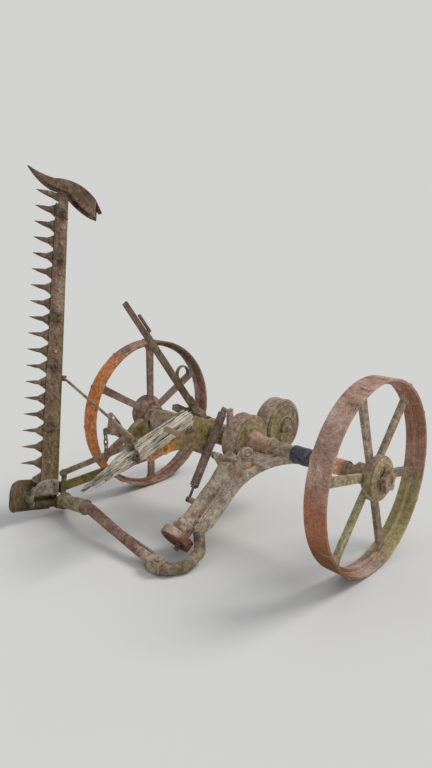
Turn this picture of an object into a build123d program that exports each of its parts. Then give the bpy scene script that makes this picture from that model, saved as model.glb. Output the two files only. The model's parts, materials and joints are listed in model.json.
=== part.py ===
from math import cos, radians, sin
import os

from build123d import *

os.makedirs("parts", exist_ok=True)

# A two-horse sickle mower of the gear-drive kind, parked. It stands on its two wheels
# and on the drag hook in front, with the cutter bar folded up on the right.
# Millimetres. X to the driver's right, Y forward, Z up, ground at z = 0, axle over y = 0.

# Main layout
AXLE_Z = 394.0
TRACK = 1316.0
FRAME_SLOPE = 35.0
FIT = 0.2
RUNNING = 0.1
CLEAR = 6.0

# Wheels
WHEEL_WIDTH = 90.0
RIM_WALL = 10.0
RIB_WIDTH = 12.0
RIB_HEIGHT = 17.0
LUG_COUNT = 12
LUG_HEIGHT = 4.0
LUG_WIDTH = 13.0
LUG_REACH = 43.0
SPOKE_COUNT = 6
SPOKE_THICK = 17.0
SPOKE_WAIST = 38.0
SPOKE_ROOT = 32.0
SPOKE_FLARE = 64.0
LEFT_SPOKE_ANGLE = 12.0
RIGHT_SPOKE_ANGLE = 31.0
HUB_R = 91.0
HUB_WAIST_R = 60.0
HUB_INNER = 14.0
HUB_OUTER = 40.0
HUB_SLEEVE_R = 42.0
SLEEVE_REACH = 60.0
HUB_CAP_R = 86.0
HUB_CAP_THICK = 13.0
HUB_CAP_RING = 64.0

# Axle and its tubes
AXLE_R = 22.0
COLLAR_R = 36.0
COLLAR_THICK = 22.0
COLLAR_LOBES = 5
LOBE_R = 13.0
AXLE_SUNK = 5.0
TUBE_R = 34.0
TUBE_BOSS_R = 39.0
TUBE_BOSS_END = 165.0
TUBE_RING_R = 45.0
TUBE_RING_WIDTH = 13.0
TUBE_FLARE_R = 55.0
TUBE_FLARE = 38.0
TUBE_NECK_R = 26.0
TUBE_NECK = 34.0
RIGHT_BOSS_R = 44.0
RIGHT_BOSS_END = 330.0

# Gear cases: two drums side by side on one casting
CASE_RIGHT = 27.0
CASE_LEFT = -47.0
FRONT_DRUM_R = 120.0
REAR_DRUM_R = 134.0
REAR_DRUM_Y = -240.0
REAR_DRUM_Z = 409.0
CASE_BAND = 9.0
COVER_THICK = 9.0
COVER_STEP = 14.0
COVER_DOME = 6.0
# Bosses on the rear cover: radius, forward and up from the drum's centre, length
REAR_BOSSES = ((40.0, 0.0, 0.0, 14.0), (20.0, 46.0, -34.0, 24.0), (14.0, 62.0, -74.0, 16.0))

# Drive housing and frame arm, in the sloping plane through the axle
SHAFT_X = -29.0
HOUSING_R_TOP = 54.0
HOUSING_R_LOW = 34.0
HOUSING_CONE_END = 262.0
HOUSING_END = 478.0
BEARING_R = 42.0
BEARING_LENGTH = 46.0
ARM_OUTER = -128.0
ARM_WIDTH = 52.0
ARM_TOP = 8.0
ARM_DEPTH = 40.0
WEB_THICK = 14.0
WEB_START = -322.0
WEB_RIM = 22.0

# Crank wheel at the foot of the drive shaft
CRANK_S = 551.0
CRANK_R = 72.0
CRANK_THICK = 34.0
CRANK_DISH = 10.0
CRANK_RIM = 11.0
CRANK_SHAFT_R = 15.0
CRANK_THROW = 38.0
CRANK_PIN_ANGLE = 90.0
CRANK_PIN_R = 11.0
CRANK_PIN_LENGTH = 30.0

# Drag hook and its coupling
HOOK_R = 24.0
HOOK_BEND = 38.0
HOOK_POINTS = ((-148.0, 432.0, 50.0), (-154.0, 520.0, HOOK_R), (-116.0, 594.0, HOOK_R),
               (-44.0, 598.0, 30.0))
COUPLING_SIZE = (86.0, 52.0, 50.0)
COUPLING_X = -66.0
COUPLING_PIN_X = -84.0
COUPLING_PIN_R = 17.0

# Drag bar, sleeve and brace
DRAG_R = 25.0
DRAG_TIP_R = 19.0
DRAG_BEND = 160.0
DRAG_START = (-30.0, 599.0, 33.0)
DRAG_CROWN = (425.0, 568.0, 104.0)
DRAG_END = (672.0, 551.0, 60.0)
SLEEVE_R = 32.0
SLEEVE_START = 34.0
SLEEVE_RING_R = 38.0
SLEEVE_RING = 14.0
BRACE_START = (-62.0, 562.0, 38.0)
BRACE_END = (190.0, 566.0, 72.0)
BRACE_R = 6.0

# Cutter bar: hinge at the inner shoe, raised
HINGE = (700.0, 627.0, 63.0)
NOSE_UP = 13.4
LEAN_OUT = 9.3
HINGE_PIN_R = 11.0
PIN_GAP = 0.1
GUARD_PITCH = 76.2
GUARD_COUNT = 20
SECTION_COUNT = 18
FIRST_GUARD = 119.0
GUARD_TIP = 147.0
GUARD_WIDTH = 22.0
GUARD_LIP = 56.0
GUARD_HEEL = -18.0
BAR_REAR_INNER = -58.0
BAR_REAR_OUTER = -28.0
BAR_FRONT = 22.0
BAR_THICK = 9.0
BAR_INNER_END = 40.0
KNIFE_THICK = 3.0
KNIFE_GAP = 1.2
KNIFE_BACK_GAP = 3.0
KNIFE_BACK_WIDTH = 20.0
KNIFE_BACK_THICK = 7.0
KNIFE_TAIL = 10.0
HEAD_THICK = 8.0
SECTION_TIP = 88.0
SECTION_TAPER = 32.0
CLIP_PLACES = (370.0, 678.0, 900.0, 1200.0, 1413.0)
CLIP_WIDTH = 44.0
CLIP_HEEL = -12.0
CLIP_THICK = 5.0

# Inner shoe, its yoke, and the outer shoe
SOLE_Z = -32.0
SOLE_THICK = 9.0
SHOE_HEEL = -72.0
SHOE_INNER = -32.0
SHOE_OUTER = 114.0
KNUCKLE_R = 20.0
KNUCKLE_REAR = -48.0
KNUCKLE_FRONT = 66.0
EAR_R = 28.0
EAR_GAP = 5.0
YOKE_REAR = -96.0
YOKE_PLATE = 158.0
PLATE_THICK = 15.0
PIN_HEAD_R = 18.0
LIFT_FOOT_X = 138.0
ARCH_HEIGHT = 27.0
DIVIDER_HEIGHT = 54.0
DIVIDER_WALL = 8.0
DIVIDER_TIP = 204.0

# Tongue, bracket and lift gear
TONGUE_REAR = (150.0, 205.0, 516.9)
TONGUE_FRONT = (150.0, 780.0, 338.0)
TONGUE_HEIGHT = 60.0
TONGUE_WIDTH = 60.0
TONGUE_SOUND = 372.0
TONGUE_TIP = 20.0
BRACKET_THICK = 24.0
SHELF_START = 140.0
SHELF_END = 204.0
SHELF_REACH = 22.0
SHELF_THICK = 12.0
DRAFT_EYE = (326.0, 391.0)
DRAFT_BOSS_R = 29.0
DRAFT_BOSS = 10.0
SADDLE_R = 57.0
SADDLE_LEFT = 112.0
SADDLE_RIGHT = 232.0
BOLT_BOSS = (166.0, 447.0)
BOLT_BOSS_R = 23.0
DRAFT_EYE_R = 14.0
LIFT_PIVOT = (352.0, 406.0)
LIFT_SHAFT_R = 11.0
SECTOR_X = 268.0
SECTOR_THICK = 30.0
SECTOR_R = 105.0
ROCKER_X = 458.0
ROCKER_THICK = 12.0
LATCH_AT = (322.0, 502.0)
LATCH_WALL = 12.0
LATCH_WIDTH = 46.0
CHAIN_TOP = (483.0, 422.0, 430.0)
CHAIN_PIN_R = 4.0
CHAIN_LINKS = 6
LINK_LENGTH = 38.0
LINK_WIDTH = 22.0
LINK_R = 3.2
LINK_SLACK = 0.3
LIFT_ROD_TOP = (406.0, 349.0, 353.0)
LIFT_ROD_R = 14.0
PUSH_TOP = (300.0, 20.0, 332.0)
PUSH_WIDTH = 42.0
PUSH_THICK = 13.0
PUSH_FOOT_X = 72.0
LEVER_X = 250.0
LEVER_TOP = (250.0, 464.0, 1036.0)
LEVER_THICK = 12.0
LEVER_ROOT = 36.0
LEVER_TIP = 22.0
GRIP_LOW = 560.0
GRIP_LENGTH = 96.0
LEVER_HUB_R = 62.0
QUADRANT_R = 98.0
QUADRANT_GAP = 4.0
PEDAL_X = 80.0
PEDAL_THICK = 20.0
PEDAL_PIVOT = (164.0, 350.0)
SPRING_TOP = (55.0, 80.0, 525.0)
SPRING_LOW = (55.0, 268.0, 225.0)
SPRING_ROD = 60.0
ANCHOR_R = 6.0
EYE_R = 13.0
EYE_THICK = 16.0
SPRING_R = 21.0
SPRING_WIRE = 4.0
HOLD_X = 605.0
HOLD_Y = -60.0
HOLD_END = (150.0, 520.0, 488.0)
HOLD_R = 6.5
HOLD_RING = (150.0, 516.0, 476.0)
HOLD_RING_R = 12.5
HOLD_RING_WIRE = 3.5
CLAMP_S = 162.0
CLAMP_N = 66.0
CLAMP_LEFT = -150.0
CLAMP_RIGHT = 12.0
CLAMP_R = 9.0
CLAMP_BOSS_R = 17.0
CLAMP_KNOB_R = 25.0
CLAMP_BOSS_WIDTH = 26.0
TAPE_LEFT = -389.0
TAPE_RIGHT = -292.0
TAPE_THICK = 4.0

parts = {}


def spot(x, y, z):
    return Location((x, y, z))


def along_x(radius, x0, x1, y=0.0, z=AXLE_Z):
    """Round bar along X from x0 to x1."""
    plane = Plane(origin=(x0, y, z), x_dir=(0, 1, 0), z_dir=(1, 0, 0))
    return extrude(plane * Circle(radius), x1 - x0)


def along_z(radius, z0, z1):
    """Round bar along Z from z0 to z1."""
    return extrude(Plane.XY.offset(z0) * Circle(radius), z1 - z0)


def rod(start, end, radius):
    """Round bar between two points."""
    a, b = Vector(*start), Vector(*end)
    return extrude(Plane(origin=a, z_dir=b - a) * Circle(radius), (b - a).length)


def block(x0, x1, y0, y1, z0, z1):
    """Box between two corners."""
    centre = ((x0 + x1) / 2, (y0 + y1) / 2, (z0 + z1) / 2)
    return Location(centre) * Box(x1 - x0, y1 - y0, z1 - z0)


def flat_bar(start, end, width, thick, side=(0, 0, 1)):
    """Rectangular bar between two points, its width along side."""
    a, b = Vector(*start), Vector(*end)
    lane = b - a
    across = Vector(*side).cross(lane)
    plane = Plane(origin=a, x_dir=across, z_dir=lane)
    return extrude(plane * Rectangle(thick, width), lane.length)


def revolved_on_x(points):
    """Turned piece about X through the axle line, from (x, r) points."""
    outline = Polyline(*[(x, 0, r) for x, r in points], close=True)
    face = make_face(outline)
    return Location((0, 0, AXLE_Z)) * revolve(face, axis=Axis.X)


AXLE_BORE = along_x(AXLE_R + FIT, -TRACK, TRACK)
ARM = Plane(origin=(0, 0, AXLE_Z), x_dir=(1, 0, 0),
            z_dir=(0, sin(radians(FRAME_SLOPE)), cos(radians(FRAME_SLOPE))))


# Wheels
def wheel(side, spoke_angle):
    """Rim, spokes with hub, and cap of one wheel; u runs outward from its middle."""
    middle = side * TRACK / 2

    def at(u):
        return middle + side * u

    half = WHEEL_WIDTH / 2
    band = AXLE_Z - LUG_HEIGHT
    inner = band - RIM_WALL
    rib = inner - RIB_HEIGHT
    rib_half = RIB_WIDTH / 2
    rim = revolved_on_x([
        (at(-half), band), (at(half), band), (at(half), inner), (at(rib_half), inner),
        (at(rib_half), rib), (at(-rib_half), rib), (at(-rib_half), inner), (at(-half), inner),
    ])
    for k in range(LUG_COUNT):
        lug = Location((at(half - LUG_REACH / 2), 0, AXLE_Z - (LUG_HEIGHT + 2) / 2)) * Box(
            LUG_REACH, LUG_WIDTH, LUG_HEIGHT + 2)
        rim += Location((0, 0, AXLE_Z)) * Rot(k * 360 / LUG_COUNT, 0, 0) * lug

    hub = revolved_on_x([
        (at(-SLEEVE_REACH), 0), (at(HUB_OUTER), 0), (at(HUB_OUTER), HUB_R), (at(HUB_INNER), HUB_R),
        (at(-HUB_INNER), HUB_WAIST_R), (at(-HUB_INNER), HUB_SLEEVE_R),
        (at(-SLEEVE_REACH), HUB_SLEEVE_R),
    ])
    reach = rib - FIT
    flare = reach - SPOKE_FLARE / 3
    spoke_face = make_face(Polyline(
        (HUB_WAIST_R - 10, -SPOKE_ROOT / 2), (flare, -SPOKE_WAIST / 2),
        (reach + 5, -SPOKE_FLARE / 2), (reach + 5, SPOKE_FLARE / 2),
        (flare, SPOKE_WAIST / 2), (HUB_WAIST_R - 10, SPOKE_ROOT / 2),
        close=True))
    spoke_plane = Plane(origin=(middle - SPOKE_THICK / 2, 0, AXLE_Z), x_dir=(0, 1, 0),
                        z_dir=(1, 0, 0))
    spoke = extrude(spoke_plane * spoke_face, SPOKE_THICK)
    trim = along_x(reach, middle - SPOKE_THICK, middle + SPOKE_THICK)
    spoke = spoke & trim
    turn = Location((0, 0, AXLE_Z))
    for k in range(SPOKE_COUNT):
        angle = spoke_angle + k * 360 / SPOKE_COUNT
        hub += turn * Rot(angle, 0, 0) * turn.inverse() * spoke
    bore = along_x(AXLE_R + RUNNING, -TRACK, TRACK)
    hub -= bore

    cap_face = HUB_OUTER + HUB_CAP_THICK
    cap = revolved_on_x([
        (at(HUB_OUTER), 0), (at(HUB_OUTER), HUB_CAP_R), (at(cap_face - 5), HUB_CAP_R),
        (at(cap_face - 5), HUB_CAP_RING + 6), (at(cap_face), HUB_CAP_RING), (at(cap_face), 0),
    ])
    cap -= bore
    collar_in = cap_face + CLEAR
    collar_out = collar_in + COLLAR_THICK
    ends = sorted((at(collar_in), at(collar_out)))
    collar = along_x(COLLAR_R, *ends)
    for k in range(COLLAR_LOBES):
        lobe = along_x(LOBE_R, *ends, COLLAR_R)
        collar += turn * Rot(90 + k * 360 / COLLAR_LOBES, 0, 0) * turn.inverse() * lobe
    collar -= AXLE_BORE
    return rim, hub, cap, collar


for label, side, angle in (("left", -1, LEFT_SPOKE_ANGLE), ("right", 1, RIGHT_SPOKE_ANGLE)):
    rim, hub, cap, collar = wheel(side, angle)
    parts[label + "_wheel_rim"] = rim
    parts[label + "_wheel_spokes"] = hub
    parts[label + "_hub_cap"] = cap
    parts[label + "_axle_collar"] = collar

# Axle and tubes
axle_end = TRACK / 2 + HUB_OUTER + HUB_CAP_THICK + CLEAR + COLLAR_THICK - AXLE_SUNK
parts["axle"] = along_x(AXLE_R, -axle_end, axle_end)
tube_end = TRACK / 2 - SLEEVE_REACH - CLEAR
ring = TUBE_BOSS_END
flare = CASE_LEFT - COVER_THICK - COVER_DOME - FIT
left_tube = revolved_on_x([
    (CASE_LEFT, 0), (CASE_LEFT, TUBE_BOSS_R), (flare, TUBE_BOSS_R), (flare, TUBE_FLARE_R),
    (flare - TUBE_FLARE, TUBE_BOSS_R + 3), (-ring, TUBE_BOSS_R),
    (-ring, TUBE_RING_R), (-ring - TUBE_RING_WIDTH, TUBE_RING_R), (-ring - TUBE_RING_WIDTH, TUBE_R),
    (-tube_end + TUBE_NECK, TUBE_R), (-tube_end + TUBE_NECK, TUBE_NECK_R),
    (-tube_end, TUBE_NECK_R), (-tube_end, 0),
])
parts["left_axle_tube"] = left_tube - AXLE_BORE
right_tube = revolved_on_x([
    (CASE_RIGHT, 0), (CASE_RIGHT, RIGHT_BOSS_R), (RIGHT_BOSS_END, RIGHT_BOSS_R),
    (RIGHT_BOSS_END, TUBE_R), (tube_end - TUBE_NECK, TUBE_R),
    (tube_end - TUBE_NECK, TUBE_NECK_R), (tube_end, TUBE_NECK_R), (tube_end, 0),
])
push_x, push_y, push_z = PUSH_TOP
right_tube += block(push_x - 21, push_x - 10, push_y - 26, push_y + 26, push_z - 24, AXLE_Z - 20)
parts["right_axle_housing"] = right_tube - AXLE_BORE


# Gear case: two drums in one casting, each with a cover on its left face
def drum(radius, y, z):
    body = along_x(radius, CASE_LEFT, CASE_RIGHT, y, z)
    return chamfer(body.edges().filter_by(GeomType.CIRCLE), CASE_BAND / 2)


case = drum(FRONT_DRUM_R, 0, AXLE_Z) + drum(REAR_DRUM_R, REAR_DRUM_Y, REAR_DRUM_Z)
parts["gear_case"] = case - AXLE_BORE


def cover(drum_radius):
    """Domed plate on a drum's left face, about the axle line."""
    edge = CASE_LEFT - COVER_THICK
    return revolved_on_x([(CASE_LEFT, 0), (CASE_LEFT, drum_radius - COVER_STEP),
                          (edge, drum_radius - COVER_STEP), (edge - COVER_DOME, drum_radius * 0.55),
                          (edge - COVER_DOME, 0)])


parts["front_gear_cover"] = cover(FRONT_DRUM_R) - along_x(TUBE_BOSS_R + FIT, -ring, 0)
cover_face = CASE_LEFT - COVER_THICK - COVER_DOME
rear_cover = spot(0, REAR_DRUM_Y, REAR_DRUM_Z - AXLE_Z) * cover(REAR_DRUM_R)
for radius, y, z, length in REAR_BOSSES:
    rear_cover += along_x(radius, cover_face - length, cover_face + 1, REAR_DRUM_Y + y, REAR_DRUM_Z + z)
arm_a, arm_b = REAR_BOSSES[0], REAR_BOSSES[-1]
rear_cover += flat_bar((cover_face - 5, REAR_DRUM_Y + arm_a[1], REAR_DRUM_Z + arm_a[2]),
                       (cover_face - 5, REAR_DRUM_Y + arm_b[1], REAR_DRUM_Z + arm_b[2]), 12, 24,
                       (1, 0, 0))
parts["rear_gear_cover"] = rear_cover

# Frame arm: drive housing, web and outer bar in one casting
housing_plane = Plane(origin=ARM.from_local_coords(Vector(SHAFT_X, 0, 0)),
                      x_dir=(1, 0, 0), z_dir=ARM.y_dir)
housing = loft([housing_plane.offset(90) * Circle(HOUSING_R_TOP),
                housing_plane.offset(HOUSING_CONE_END) * Circle(HOUSING_R_LOW)])
housing += extrude(housing_plane.offset(HOUSING_CONE_END) * Circle(HOUSING_R_LOW),
                   HOUSING_END - HOUSING_CONE_END)
housing += extrude(housing_plane.offset(HOUSING_END) * Circle(BEARING_R), BEARING_LENGTH)

inner_edge = ARM_OUTER + ARM_WIDTH
sweep_line = ThreePointArc((WEB_START, 22), (-192, 96), (ARM_OUTER, 236))
rim_line = ThreePointArc((WEB_START + 10, 4), (-178, 84), (ARM_OUTER + WEB_RIM, 232))
arm_end = HOUSING_END - 38
hook_start = HOUSING_END + 12
web_face = make_face([
    sweep_line, Line((ARM_OUTER, 236), (ARM_OUTER, arm_end)),
    Line((ARM_OUTER, arm_end), (SHAFT_X, arm_end)), Line((SHAFT_X, arm_end), (SHAFT_X, 0)),
    Line((SHAFT_X, 0), (WEB_START, 0)), Line((WEB_START, 0), (WEB_START, 22)),
])
web = extrude(ARM.offset(-WEB_THICK + 2) * web_face, WEB_THICK)
rim_face = make_face([
    sweep_line, Line((ARM_OUTER, 236), (ARM_OUTER + WEB_RIM, 232)), rim_line,
    Line((WEB_START + 10, 4), (WEB_START, 22)),
])
rim_flange = extrude(ARM.offset(ARM_TOP - ARM_DEPTH) * rim_face, ARM_DEPTH)
outer_face = make_face(Polyline((ARM_OUTER, 225), (inner_edge, 225), (inner_edge, arm_end),
                                (ARM_OUTER, arm_end), close=True))
outer_bar = extrude(ARM.offset(ARM_TOP - ARM_DEPTH) * outer_face, ARM_DEPTH)
clamp_centre = ARM.from_local_coords(Vector(0, CLAMP_S, CLAMP_N))
clamp_at = (clamp_centre.Y, clamp_centre.Z)
arm = housing + web + rim_flange + outer_bar
for boss_x in (CLAMP_LEFT, CLAMP_RIGHT - CLAMP_BOSS_WIDTH):
    lug = ARM * block(boss_x, boss_x + CLAMP_BOSS_WIDTH, CLAMP_S - CLAMP_BOSS_R,
                      CLAMP_S + CLAMP_BOSS_R, -WEB_THICK / 2, CLAMP_N)
    arm += lug + along_x(CLAMP_BOSS_R, boss_x, boss_x + CLAMP_BOSS_WIDTH, *clamp_at)
arm += spot(CLAMP_LEFT + CLAMP_BOSS_WIDTH / 2, *clamp_at) * Sphere(CLAMP_KNOB_R)
arm -= along_x(FRONT_DRUM_R + FIT, flare, CASE_RIGHT + FIT)
arm -= along_x(TUBE_RING_R + FIT, -ring - TUBE_RING_WIDTH - FIT, 0)
arm -= along_x(TUBE_FLARE_R + FIT, flare - TUBE_FLARE, 0)
arm -= along_x(TUBE_R + FIT, -TRACK / 2, 0)
arm -= along_x(TUBE_R + TAPE_THICK + FIT, TAPE_LEFT, TAPE_RIGHT + FIT)
shaft_bore = extrude(housing_plane.offset(HOUSING_END - 60) * Circle(CRANK_SHAFT_R + RUNNING), 200)
arm -= shaft_bore
arm -= along_x(CLAMP_R + FIT, CLAMP_LEFT - CLAMP_KNOB_R, CLAMP_RIGHT + 5, *clamp_at)

# Crank wheel, shaft and pin
crank_back = CRANK_S - CRANK_THICK / 2
crank = extrude(housing_plane.offset(crank_back) * Circle(CRANK_R), CRANK_THICK)
crank -= extrude(housing_plane.offset(crank_back + CRANK_THICK - CRANK_DISH)
                 * Circle(CRANK_R - CRANK_RIM), CRANK_DISH)
parts["crank_wheel"] = crank
parts["drive_shaft"] = extrude(housing_plane.offset(HOUSING_END - 50) * Circle(CRANK_SHAFT_R),
                               crank_back - HOUSING_END + 50)
pin_base = housing_plane.offset(crank_back + CRANK_THICK - CRANK_DISH)
pin_centre = pin_base * Rot(0, 0, CRANK_PIN_ANGLE) * Location((CRANK_THROW, 0, 0))
parts["crank_pin"] = extrude(Plane(pin_centre) * Circle(CRANK_PIN_R), CRANK_PIN_LENGTH)

# Drag hook round the crank wheel, on the ground
arm_middle = (ARM_OUTER + ARM_WIDTH / 2, ARM_TOP - ARM_DEPTH / 2)
arm_foot = ARM.from_local_coords(Vector(arm_middle[0], hook_start, arm_middle[1]))
hook_line = FilletPolyline(
    (arm_foot.X, arm_foot.Y, arm_foot.Z), *HOOK_POINTS, radius=HOOK_BEND)
hook_plane = Plane(origin=hook_line @ 0, z_dir=hook_line % 0)
hook = sweep(hook_plane * Circle(HOOK_R), path=hook_line)
arm_tail = ARM.from_local_coords(Vector(arm_middle[0], arm_end, arm_middle[1]))
tail_plane = Plane(origin=arm_tail, x_dir=(1, 0, 0), z_dir=ARM.y_dir)
hook_top = Plane(origin=arm_foot, x_dir=(1, 0, 0), z_dir=hook_line % 0)
taper = loft([tail_plane * RectangleRounded(ARM_WIDTH, ARM_DEPTH, 6),
              hook_top * RectangleRounded(2 * HOOK_R, 2 * HOOK_R, HOOK_R - 2)])
parts["frame_arm"] = arm + taper

# Coupling block that takes the drag bar's inner end on an upright pin
drag_run = Vector(*DRAG_CROWN) - Vector(*DRAG_START)
sleeve_run = Vector(*DRAG_END) - Vector(*DRAG_CROWN)
bend_in = Vector(*DRAG_CROWN) - drag_run.normalized() * SLEEVE_START
drag_taper = loft([Plane(origin=DRAG_START, z_dir=drag_run) * Circle(DRAG_TIP_R),
                   Plane(origin=bend_in, z_dir=drag_run) * Circle(DRAG_R)])
coupling = spot(COUPLING_X, DRAG_START[1], DRAG_START[2]) * Box(*COUPLING_SIZE)
coupling = fillet(coupling.edges().filter_by(Axis.Y), 10)
pin_reach = COUPLING_SIZE[2] / 2
coupling += spot(COUPLING_PIN_X, DRAG_START[1], DRAG_START[2] - pin_reach - 6) * along_z(
    COUPLING_PIN_R, 0, 2 * pin_reach + 14)
coupling -= rod(HOOK_POINTS[2], HOOK_POINTS[3], HOOK_R + FIT) + drag_taper
parts["drag_coupling"] = coupling
parts["drag_hook"] = hook - coupling

# Drag bar, thinner towards the coupling and bent at its crown, in the sleeve of the shoe's end
bend_out = Vector(*DRAG_CROWN) + sleeve_run.normalized() * SLEEVE_START
bend_line = FilletPolyline(bend_in, Vector(*DRAG_CROWN), bend_out, radius=DRAG_BEND)
bend = sweep(Plane(origin=bend_in, z_dir=drag_run) * Circle(DRAG_R), path=bend_line)
parts["drag_bar"] = drag_taper + bend
sleeve_plane = Plane(origin=bend_out, z_dir=sleeve_run)
sleeve_length = sleeve_run.length - SLEEVE_START
sleeve = extrude(sleeve_plane * Circle(SLEEVE_R), sleeve_length)
sleeve = chamfer(sleeve.edges().filter_by(GeomType.CIRCLE), 4)
sleeve += extrude(sleeve_plane.offset(sleeve_length - SLEEVE_RING) * Circle(SLEEVE_RING_R),
                  SLEEVE_RING)
parts["drag_sleeve"] = sleeve
brace = rod(BRACE_START, BRACE_END, BRACE_R) - drag_taper - coupling
parts["brace_rod"] = brace - hook

# Cutter bar group, built lying flat: x outward, y to the guard tips, z up; then raised
bar_dir = Vector(sin(radians(LEAN_OUT)),
                 -cos(radians(LEAN_OUT)) * sin(radians(NOSE_UP)),
                 cos(radians(LEAN_OUT)) * cos(radians(NOSE_UP)))
nose_dir = Vector(0, cos(radians(NOSE_UP)), sin(radians(NOSE_UP)))
RAISED = Location(Plane(origin=HINGE, x_dir=bar_dir, z_dir=bar_dir.cross(nose_dir)))


def raised_point(x, y, z):
    """Place in the machine of a point given in the flat bar's own directions."""
    return Vector(*HINGE) + bar_dir * x + nose_dir * y + bar_dir.cross(nose_dir) * z


def along_bar_y(radius, y0, y1, x=0.0, z=0.0):
    """Round bar along the hinge line, in the flat bar's own directions."""
    return extrude(Plane(origin=(x, y0, z), x_dir=(1, 0, 0), z_dir=(0, 1, 0)) * Circle(radius),
                   y1 - y0)


last_guard = FIRST_GUARD + (GUARD_COUNT - 1) * GUARD_PITCH
bar_end = last_guard - GUARD_PITCH / 2
bar_top = BAR_THICK / 2
bar_face = make_face(Polyline((BAR_INNER_END, BAR_REAR_INNER), (bar_end, BAR_REAR_OUTER),
                              (bar_end, BAR_FRONT), (BAR_INNER_END, BAR_FRONT), close=True))
parts["finger_bar"] = RAISED * extrude(Plane.XY.offset(-bar_top) * bar_face, BAR_THICK)

# Guards: forged points, slotted for the knife, one under each stroke end
knife_low = bar_top
knife_high = knife_low + KNIFE_THICK
slot_low = knife_low - KNIFE_GAP
slot_high = knife_high + KNIFE_GAP
slot_end = SECTION_TIP + CLEAR
guard_side = make_face(Polyline(
    (GUARD_HEEL, -13), (62, -15), (112, -9), (GUARD_TIP, -1), (GUARD_TIP, 2),
    (112, 11), (slot_end - 24, 16), (GUARD_LIP, 15), (GUARD_LIP, slot_high),
    (slot_end, slot_high), (slot_end, slot_low), (BAR_FRONT + FIT, slot_low),
    (BAR_FRONT + FIT, -bar_top), (GUARD_HEEL, -bar_top), close=True))
guard = extrude(Plane(origin=(-20, 0, 0), x_dir=(0, 1, 0), z_dir=(1, 0, 0)) * guard_side, 40)
guard_plan = make_face(Polyline(
    (-14, GUARD_HEEL), (-19, BAR_FRONT), (-GUARD_WIDTH / 2, GUARD_LIP), (-8, 96),
    (-4, 124), (-1, GUARD_TIP + 1), (1, GUARD_TIP + 1), (4, 124), (8, 96),
    (GUARD_WIDTH / 2, GUARD_LIP), (19, BAR_FRONT), (14, GUARD_HEEL), close=True))
guard &= extrude(Plane.XY.offset(-40) * guard_plan, 80)
guards = [RAISED * spot(FIRST_GUARD + k * GUARD_PITCH, 0, 0) * guard
          for k in range(1, GUARD_COUNT - 1)]
parts["guards"] = Compound(guards)

# Knife: back bar and sections, standing a little past the guards
back_front = BAR_FRONT + KNIFE_BACK_GAP + KNIFE_BACK_WIDTH
knife_in = FIRST_GUARD - GUARD_PITCH / 2
knife_out = knife_in + SECTION_COUNT * GUARD_PITCH
knife_back = block(knife_in - KNIFE_TAIL, knife_out, BAR_FRONT + KNIFE_BACK_GAP, back_front,
                   knife_high, knife_high + KNIFE_BACK_THICK)
knife_back += block(knife_in - KNIFE_TAIL, knife_in + 16, BAR_FRONT + KNIFE_BACK_GAP, back_front,
                    knife_high, knife_high + KNIFE_BACK_THICK + HEAD_THICK)
parts["knife_back"] = RAISED * knife_back
half = GUARD_PITCH / 2 - 0.4
section_face = make_face(Polyline(
    (-half, BAR_FRONT + KNIFE_BACK_GAP), (half, BAR_FRONT + KNIFE_BACK_GAP), (half, SECTION_TAPER),
    (7, SECTION_TIP), (-7, SECTION_TIP), (-half, SECTION_TAPER), close=True))
section = extrude(Plane.XY.offset(knife_low) * section_face, KNIFE_THICK)
sections = [RAISED * spot(FIRST_GUARD + k * GUARD_PITCH, 0, 0) * section
            for k in range(SECTION_COUNT)]
parts["knife_sections"] = Compound(sections)

# Knife clips: a foot on the bar and a nose over the knife back
clip_nose = knife_high + KNIFE_BACK_THICK + 1
clips = []
for clip_x in CLIP_PLACES:
    clip = block(clip_x - CLIP_WIDTH / 2, clip_x + CLIP_WIDTH / 2, CLIP_HEEL, back_front - 2,
                 clip_nose, clip_nose + CLIP_THICK)
    clip += block(clip_x - CLIP_WIDTH / 2, clip_x + CLIP_WIDTH / 2, CLIP_HEEL,
                  BAR_FRONT - 2, bar_top, clip_nose + CLIP_THICK)
    clips.append(RAISED * clip)
parts["knife_clips"] = Compound(clips)

# Inner shoe: sole with a turned-up nose, block under the bar, knuckle round the hinge pin
sole_profile = make_face(Polyline(
    (SHOE_HEEL, SOLE_Z), (130, SOLE_Z), (176, SOLE_Z + 18), (203, SOLE_Z + 46),
    (196, SOLE_Z + 52), (170, SOLE_Z + 26), (128, SOLE_Z + SOLE_THICK),
    (SHOE_HEEL, SOLE_Z + SOLE_THICK), close=True))
sole = extrude(Plane(origin=(SHOE_INNER, 0, 0), x_dir=(0, 1, 0), z_dir=(1, 0, 0)) * sole_profile,
               SHOE_OUTER - SHOE_INNER)
sole_plan = make_face([
    Line((SHOE_INNER, -30), (20, SHOE_HEEL)), Line((20, SHOE_HEEL), (SHOE_OUTER, SHOE_HEEL)),
    Line((SHOE_OUTER, SHOE_HEEL), (SHOE_OUTER, 120)),
    ThreePointArc((SHOE_OUTER, 120), (92, 184), (12, 206)),
    ThreePointArc((12, 206), (-24, 180), (SHOE_INNER, 118)),
    Line((SHOE_INNER, 118), (SHOE_INNER, -30))])
sole &= extrude(Plane.XY.offset(-60) * sole_plan, 120)
shoe = sole + block(BAR_INNER_END, SHOE_OUTER - 4, -50, 16, SOLE_Z + 2, -bar_top)
shoe += block(-KNUCKLE_R, BAR_INNER_END + 2, KNUCKLE_REAR, KNUCKLE_FRONT, SOLE_Z + 2, -8)
shoe += along_bar_y(KNUCKLE_R, KNUCKLE_REAR, KNUCKLE_FRONT)
shoe -= along_bar_y(EAR_R + CLEAR, YOKE_REAR - 5, KNUCKLE_REAR)
shoe -= along_bar_y(HINGE_PIN_R + PIN_GAP, KNUCKLE_REAR - 5, KNUCKLE_FRONT + 5)
parts["inner_shoe"] = RAISED * shoe

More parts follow.
